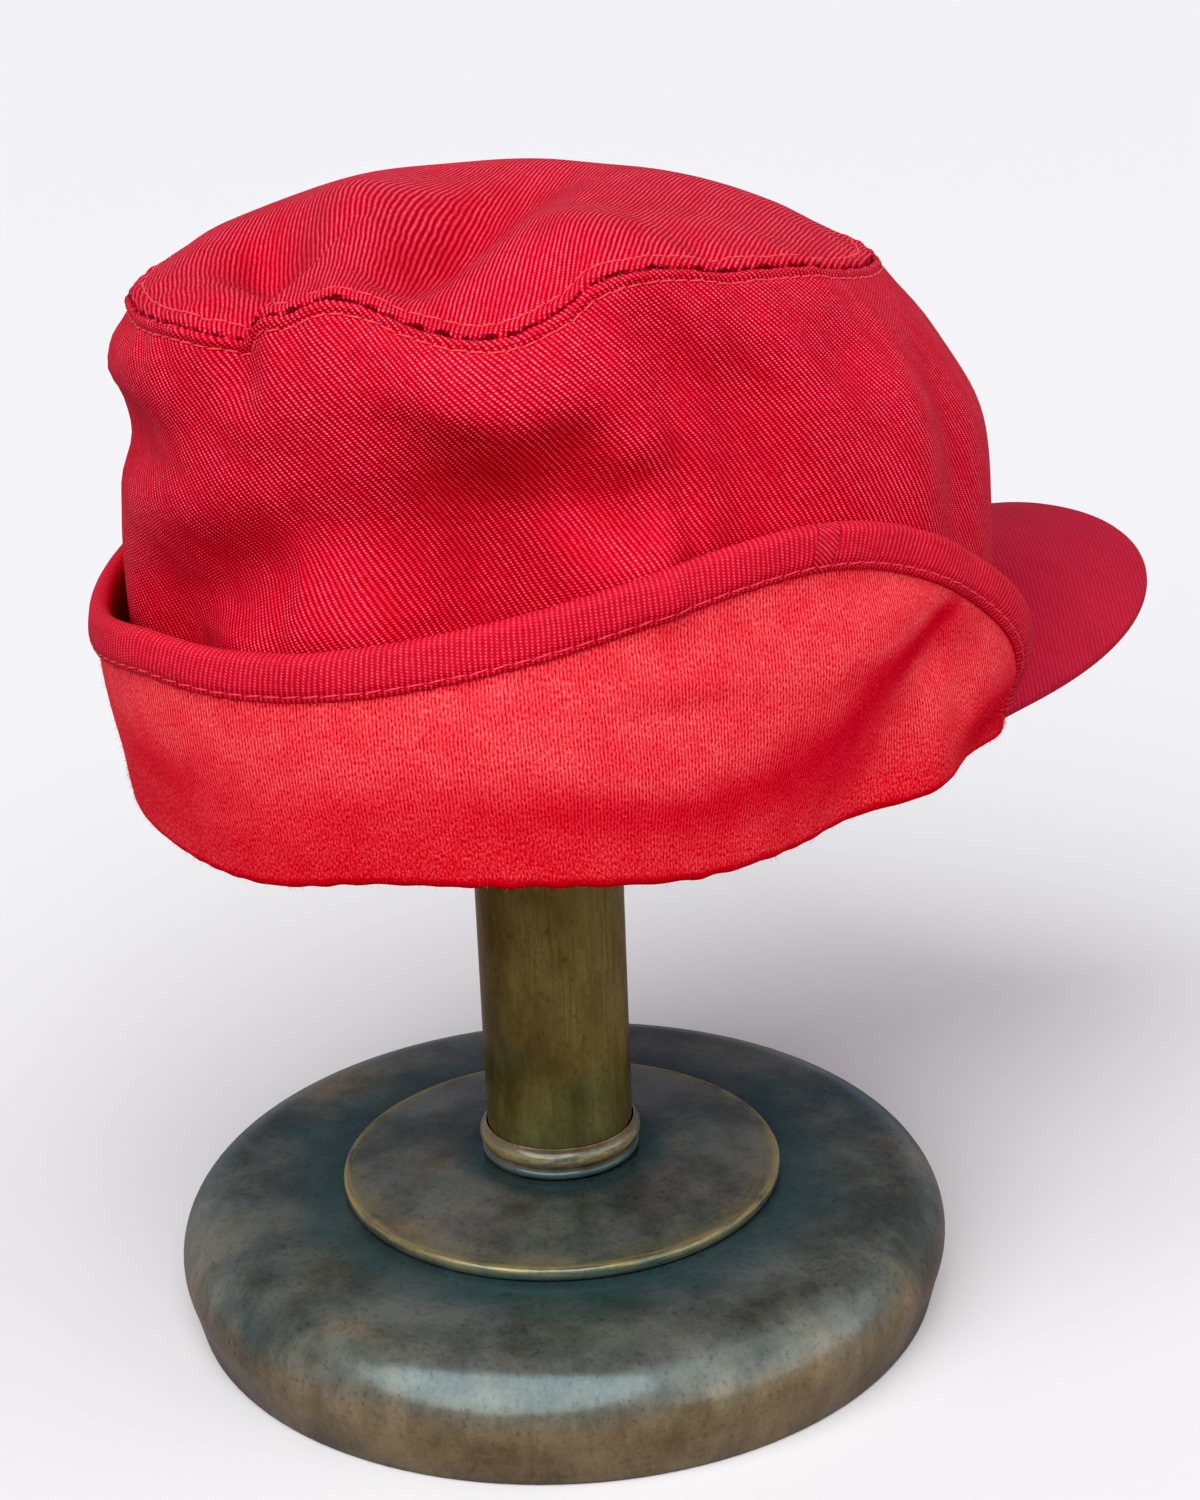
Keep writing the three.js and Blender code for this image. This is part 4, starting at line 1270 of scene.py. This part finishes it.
in_piece = ramp(tree, aside, 0.5 * JOIN_WIDTH, 0.56 * JOIN_WIDTH, 1.0, 0.0)
from_line = sums(tree, "ABSOLUTE", sums(tree, "SUBTRACT", aside, 0.53 * JOIN_WIDTH))
edge_line = ramp(tree, from_line, 0, 0.0005, 1.0, 0.0)
strip_colour = twill_colours(tree, strip, SOFT_FURROW_RED, 0.6)
colour = blend(tree, in_piece, strip_colour, twill_colours(tree, piece_weave, SOFT_FURROW_RED, 0.9))
# painted shade along the join's seam line
colour = blend(tree, sums(tree, "MULTIPLY", edge_line, 0.25), colour, GROOVE_SHADE_RED)
mixed = blend(tree, in_piece, sums(tree, "MULTIPLY", strip["Height"], 0.6), piece_weave["Height"])
height = sums(tree, "MULTIPLY_ADD", edge_line, -0.6, mixed)
finish_twill(tree, shader, tinted(tree, colour, HEM_TINT), strip, height)
shell.data.materials.append(hem_twill)
print("hem piece lies", round(join_u / MM), "mm along the free edge")

# %% [markdown]
# The peak's cover is stretched tight over its board, so its wales are flat and its red is even. Its red is
# painted darker and duller, as painted shade from the crown.

# %% Twill of the peak
COVER_FURROW_RED = (0.58, 0.014, 0.038, 1)
# tint of painted shade from the crown: darker and duller red
COVER_SHADE_TINT = (0.68, 1.3, 1.1, 1)
peak_twill, tree, shader = new_material("peak_twill")
cover = place_group(tree, twill_weave, Cloth=flat_place(tree), Wale=0.00105, Slant=math.radians(-42))
colour = tinted(tree, twill_colours(tree, cover, COVER_FURROW_RED, 0.12), COVER_SHADE_TINT)
finish_twill(tree, shader, colour, cover, sums(tree, "MULTIPLY", cover["Height"], 0.35))
peak.data.materials.append(peak_twill)
print(peak.name, "wears", peak_twill.name)

# %% [markdown]
# ## Brushed knit
# The lining is a knit whose face has been brushed: fine upright ribs under a short fuzzy nap. Ribs come
# from a cosine across the cloth, and the nap from noise that is longer up the cloth than across it. Towards
# the bottom roll the nap covers the ribs. Where the cloth turns down, away from the light, its red is
# painted deeper as painted shade, and the bottom roll is painted a little darker, as painted shade too.

# %% Knit group
brushed_knit, given, result = new_group(
    "brushed knit",
    [("Cloth", "Vector", None), ("Rib", "Float", 0.0007)],
    [("Ribs", "Float"), ("Nap", "Float"), ("Tone", "Float")],
)
tree = brushed_knit
across, up, _ = split(tree, given["Cloth"])
waver = cloud(tree, given["Cloth"], 220.0, 2.0)
bent = sums(tree, "MULTIPLY_ADD", waver, 0.0006, across)
turns = sums(tree, "MULTIPLY", sums(tree, "DIVIDE", bent, given["Rib"]), 2 * math.pi)
rib = sums(tree, "MULTIPLY_ADD", sums(tree, "COSINE", turns), 0.5, 0.5)
feed(tree, result["Ribs"], sums(tree, "POWER", rib, 2.0))
nap_place = joined_vector(tree, across, sums(tree, "MULTIPLY", up, 0.5), 0.0)
feed(tree, result["Nap"], cloud(tree, nap_place, 2600.0, 3.0, 0.6))
feed(tree, result["Tone"], cloud(tree, given["Cloth"], 120.0, 5.0, 0.65))
print("knit group has", len(tree.nodes), "nodes")

# %% Knit of the lining
KNIT_DEEP = (0.7, 0.004, 0.016, 1)
KNIT_BRIGHT = (0.93, 0.145, 0.157, 1)
MOTTLE_DARK = (0.95, 0.72, 0.8, 1)
MOTTLE_LIGHT = (1, 1.12, 1.08, 1)
# the next two tints are painted shade: deeper red where the lining faces down, darker on its bottom roll
DOWNWARD_SHADE_TINT = (0.97, 0.12, 0.42, 1)
ROLL_SHADE_TINT = (0.88, 0.85, 0.88, 1)
SHEEN_RED = (1, 0.4, 0.4, 1)
lining_knit, tree, shader = new_material("lining_knit")
cloth = flat_place(tree)
knit = place_group(tree, brushed_knit, Cloth=cloth)
climb = split(tree, cloth)[1]
ribs = sums(tree, "MULTIPLY", knit["Ribs"], ramp(tree, climb, 0.026, 0.05, 0.1, 0.7))
shade = sums(tree, "MULTIPLY_ADD", knit["Nap"], 1.1, sums(tree, "MULTIPLY", ribs, 0.4))
colour = blend(tree, ramp(tree, shade, 0.42, 0.88), KNIT_DEEP, KNIT_BRIGHT)
mottled = blend(tree, ramp(tree, knit["Tone"], 0.35, 0.65), MOTTLE_DARK, MOTTLE_LIGHT)
# painted shade: deeper red where the cloth faces down, and darker on the bottom roll
downward_shade = ramp(tree, kept_value(tree, "faces_up"), -0.43, -0.03, 0.92, 0.0)
roll_shade = ramp(tree, climb, 0.024, 0.046, 0.9, 0.0)
colour = tinted(tree, colour, mottled)
colour = tinted(tree, colour, DOWNWARD_SHADE_TINT, downward_shade)
feed(tree, shader["Base Color"], tinted(tree, colour, ROLL_SHADE_TINT, roll_shade))
feed(tree, shader["Roughness"], ramp(tree, knit["Nap"], 0.2, 0.8, 1.0, 0.85))
shader["Specular IOR Level"].default_value = 0.15
shader["Sheen Weight"].default_value = 0.06
shader["Sheen Roughness"].default_value = 0.7
shader["Sheen Tint"].default_value = SHEEN_RED
lining_height = sums(tree, "MULTIPLY_ADD", knit["Nap"], 0.8, sums(tree, "MULTIPLY", ribs, 0.7))
feed(tree, shader["Normal"], bump(tree, lining_height, 0.00028, 0.8))
lining.data.materials.append(lining_knit)
print(lining.name, "wears", lining_knit.name)

# %% [markdown]
# Loose fibres and sewing thread are too thin to show a weave. Noise in the piece's own coordinates is
# enough to make each of them a little lighter or darker than the next.

# %% Fibres and thread
FIBRE_DEEP = (0.75, 0.02, 0.03, 1)
FIBRE_BRIGHT = (0.93, 0.2, 0.21, 1)
THREAD_DEEP = (0.66, 0.03, 0.04, 1)
THREAD_BRIGHT = (0.84, 0.1, 0.1, 1)
fibre_red, tree, shader = new_material("fibre_red")
fibre_tone = ramp(tree, cloud(tree, own_place(tree), 900.0, 3.0, 0.6), 0.35, 0.65)
feed(tree, shader["Base Color"], blend(tree, fibre_tone, FIBRE_DEEP, FIBRE_BRIGHT))
feed(tree, shader["Roughness"], ramp(tree, fibre_tone, 0.0, 1.0, 0.9, 0.7))
nap_fibres.data.materials.append(fibre_red)
thread, tree, shader = new_material("orange_red_thread")
strands = cloud(tree, own_place(tree), 2600.0, 3.0, 0.6)
feed(tree, shader["Base Color"], blend(tree, strands, THREAD_DEEP, THREAD_BRIGHT))
feed(tree, shader["Roughness"], ramp(tree, strands, 0.3, 0.7, 0.7, 0.5))
feed(tree, shader["Normal"], bump(tree, strands, 0.0001, 0.6))
shader["Sheen Weight"].default_value = 0.15
for row in (lower_stitches, upper_stitches, hem_stitches):
    row.data.materials.append(thread)
    print(row.name, "is sewn with", thread.name)

# %% [markdown]
# ## Bronze patina
# Antique bronze is dark and cloudy, with brown and green-grey clouds, and brass that shows where hands and
# cloths have worn the edges. Fine marks run round the axis on the turned pieces and along the drawn tube.
# They follow distance from the axis and height, which a piece that stands on the axis has in its own
# coordinates. How worn, tarnished or warm each place is stays on the piece's points, and the group mixes
# one finish of it.

# %% Patina group
COOL_DARK, COOL_PALE = (0.07, 0.088, 0.075, 1), (0.18, 0.192, 0.165, 1)
WARM_DARK, WARM_PALE = (0.115, 0.088, 0.046, 1), (0.3, 0.235, 0.14, 1)
VERDIGRIS = (0.03, 0.095, 0.095, 1)
MARK_BROWN = (0.02, 0.018, 0.012, 1)
SPECK_BROWN = (0.025, 0.024, 0.02, 1)
WORN_BRASS = (0.34, 0.27, 0.12, 1)
patina, given, result = new_group(
    "bronze patina",
    [("Place", "Vector", None), ("Wear", "Float", 0.0), ("Tarnish", "Float", 0.0), ("Warmth", "Float", 0.0),
     ("Upright", "Float", 0.0)],
    [("Colour", "Color"), ("Roughness", "Float"), ("Height", "Float")],
)
tree = patina
x, y, z = split(tree, given["Place"])
radius = sums(tree, "SQRT", sums(tree, "ADD", sums(tree, "MULTIPLY", x, x), sums(tree, "MULTIPLY", y, y)))
turn = sums(tree, "ARCTAN2", y, x)
ring_place = joined_vector(tree, radius, sums(tree, "MULTIPLY", turn, 0.004), z)
upright_place = joined_vector(tree, x, y, sums(tree, "MULTIPLY", z, 0.05))
mark_place = blend(tree, given["Upright"], ring_place, upright_place)
marks = cloud(tree, mark_place, 1300.0, 4.0, 0.6)
cloud_place = joined_vector(tree, x, y, sums(tree, "MULTIPLY", z, 0.5))
clouds = cloud(tree, cloud_place, 42.0, 6.0, 0.66)
greens = cloud(tree, given["Place"], 24.0, 4.0, 0.55)
specks = cloud(tree, given["Place"], 700.0, 4.0, 0.7)
cloudy = ramp(tree, clouds, 0.32, 0.68)
cool = blend(tree, cloudy, COOL_DARK, COOL_PALE)
warm = blend(tree, cloudy, WARM_DARK, WARM_PALE)
warmer = sums(tree, "ADD", given["Warmth"], ramp(tree, greens, 0.5, 0.75, 0.0, 0.65))
body = blend(tree, ramp(tree, warmer, 0.0, 1.0), cool, warm)
green_share = sums(tree, "ADD", ramp(tree, greens, 0.5, 0.28, 0.0, 0.6), given["Tarnish"])
body = blend(tree, ramp(tree, green_share, 0.0, 1.0, 0.0, 0.75), body, VERDIGRIS)
mark_share = sums(tree, "MULTIPLY_ADD", given["Upright"], 0.4, 0.05)
streaked = blend(tree, ramp(tree, marks, 0.42, 0.72, 0.0, mark_share), body, MARK_BROWN)
speckled = blend(tree, ramp(tree, specks, 0.5, 0.72, 0.0, 0.4), streaked, SPECK_BROWN)
rub = sums(tree, "MULTIPLY", given["Wear"], ramp(tree, sums(tree, "ADD", clouds, marks), 0.7, 1.15))
feed(tree, result["Colour"], blend(tree, rub, speckled, WORN_BRASS))
dullness = sums(tree, "MULTIPLY_ADD", clouds, 0.6, sums(tree, "MULTIPLY", marks, 0.4))
feed(tree, result["Roughness"], ramp(tree, dullness, 0.3, 0.7, 0.16, 0.3))
relief = sums(tree, "MULTIPLY_ADD", marks, mark_share, sums(tree, "MULTIPLY", specks, 0.3))
feed(tree, result["Height"], relief)
print("patina group has", len(tree.nodes), "nodes")


# %% Where the stand is worn, tarnished and warm
def wear_at(radius, height):
    disc_rim = hump((radius - 51) / 1.2, (height - 29.8) / 0.9)
    bead = hump((radius - 18.9) / 0.5, (height - 38.5) / 1.6)
    foot = 0.3 * hump((radius - 88) / 3, (height - 5) / 5)
    tube = 0.2 * (np.abs(radius - POST_RADIUS) < 0.1)
    return np.clip(disc_rim + bead + foot + tube, 0, 1)


def tarnish_at(radius, height):
    round_disc = hump((radius - 53) / 4, (height - DISC_FOOT) / 2)
    round_collar = hump((radius - 19) / 3, (height - DISC_TOP) / 2)
    on_base = 0.3 * hump((radius - 70) / 9, (height - BASE_TOP) / 3)
    return np.clip(round_disc + round_collar + on_base, 0, 1)


def warmth_at(radius, height):
    side = hump((radius - 90) / 8, (height - 8) / 8)
    tube = 0.9 * (np.abs(radius - POST_RADIUS) < 1)
    return np.clip(side + tube, 0, 1)


AGEING = {"Wear": wear_at, "Tarnish": tarnish_at, "Warmth": warmth_at}
print("the finish of the stand depends on", ", ".join(AGEING).lower())


# %% Bronze on the stand
def bronze_material(name, upright, tint, sheen):
    material, tree, shader = new_material(name)
    shares = {label: kept_value(tree, label.lower()) for label in AGEING}
    finish = place_group(tree, patina, Place=own_place(tree), Upright=upright, **shares)
    feed(tree, shader["Base Color"], tinted(tree, finish["Colour"], tint))
    feed(tree, shader["Roughness"], finish["Roughness"])
    shader["Metallic"].default_value = 0.25
    shader["Specular IOR Level"].default_value = 0.6
    shader["Specular Tint"].default_value = sheen
    feed(tree, shader["Normal"], bump(tree, finish["Height"], 0.00012, 0.5))
    return material


turned_bronze = bronze_material("turned_bronze", 0.0, (1, 1, 1, 1), (0.45, 0.8, 1, 1))
drawn_bronze = bronze_material("drawn_bronze", 1.0, (0.74, 0.82, 0.62, 1), (1, 0.85, 0.5, 1))
for piece, material in ((base, turned_bronze), (disc, turned_bronze), (collar, turned_bronze),
                        (post, drawn_bronze), (head, turned_bronze)):
    spots = np.array([vertex.co for vertex in piece.data.vertices]) / MM
    for label, share_at in AGEING.items():
        keep_value(piece, label.lower(), share_at(np.hypot(spots[:, 0], spots[:, 1]), spots[:, 2]))
    piece.data.materials.append(material)
    print(piece.name, "wears", material.name)
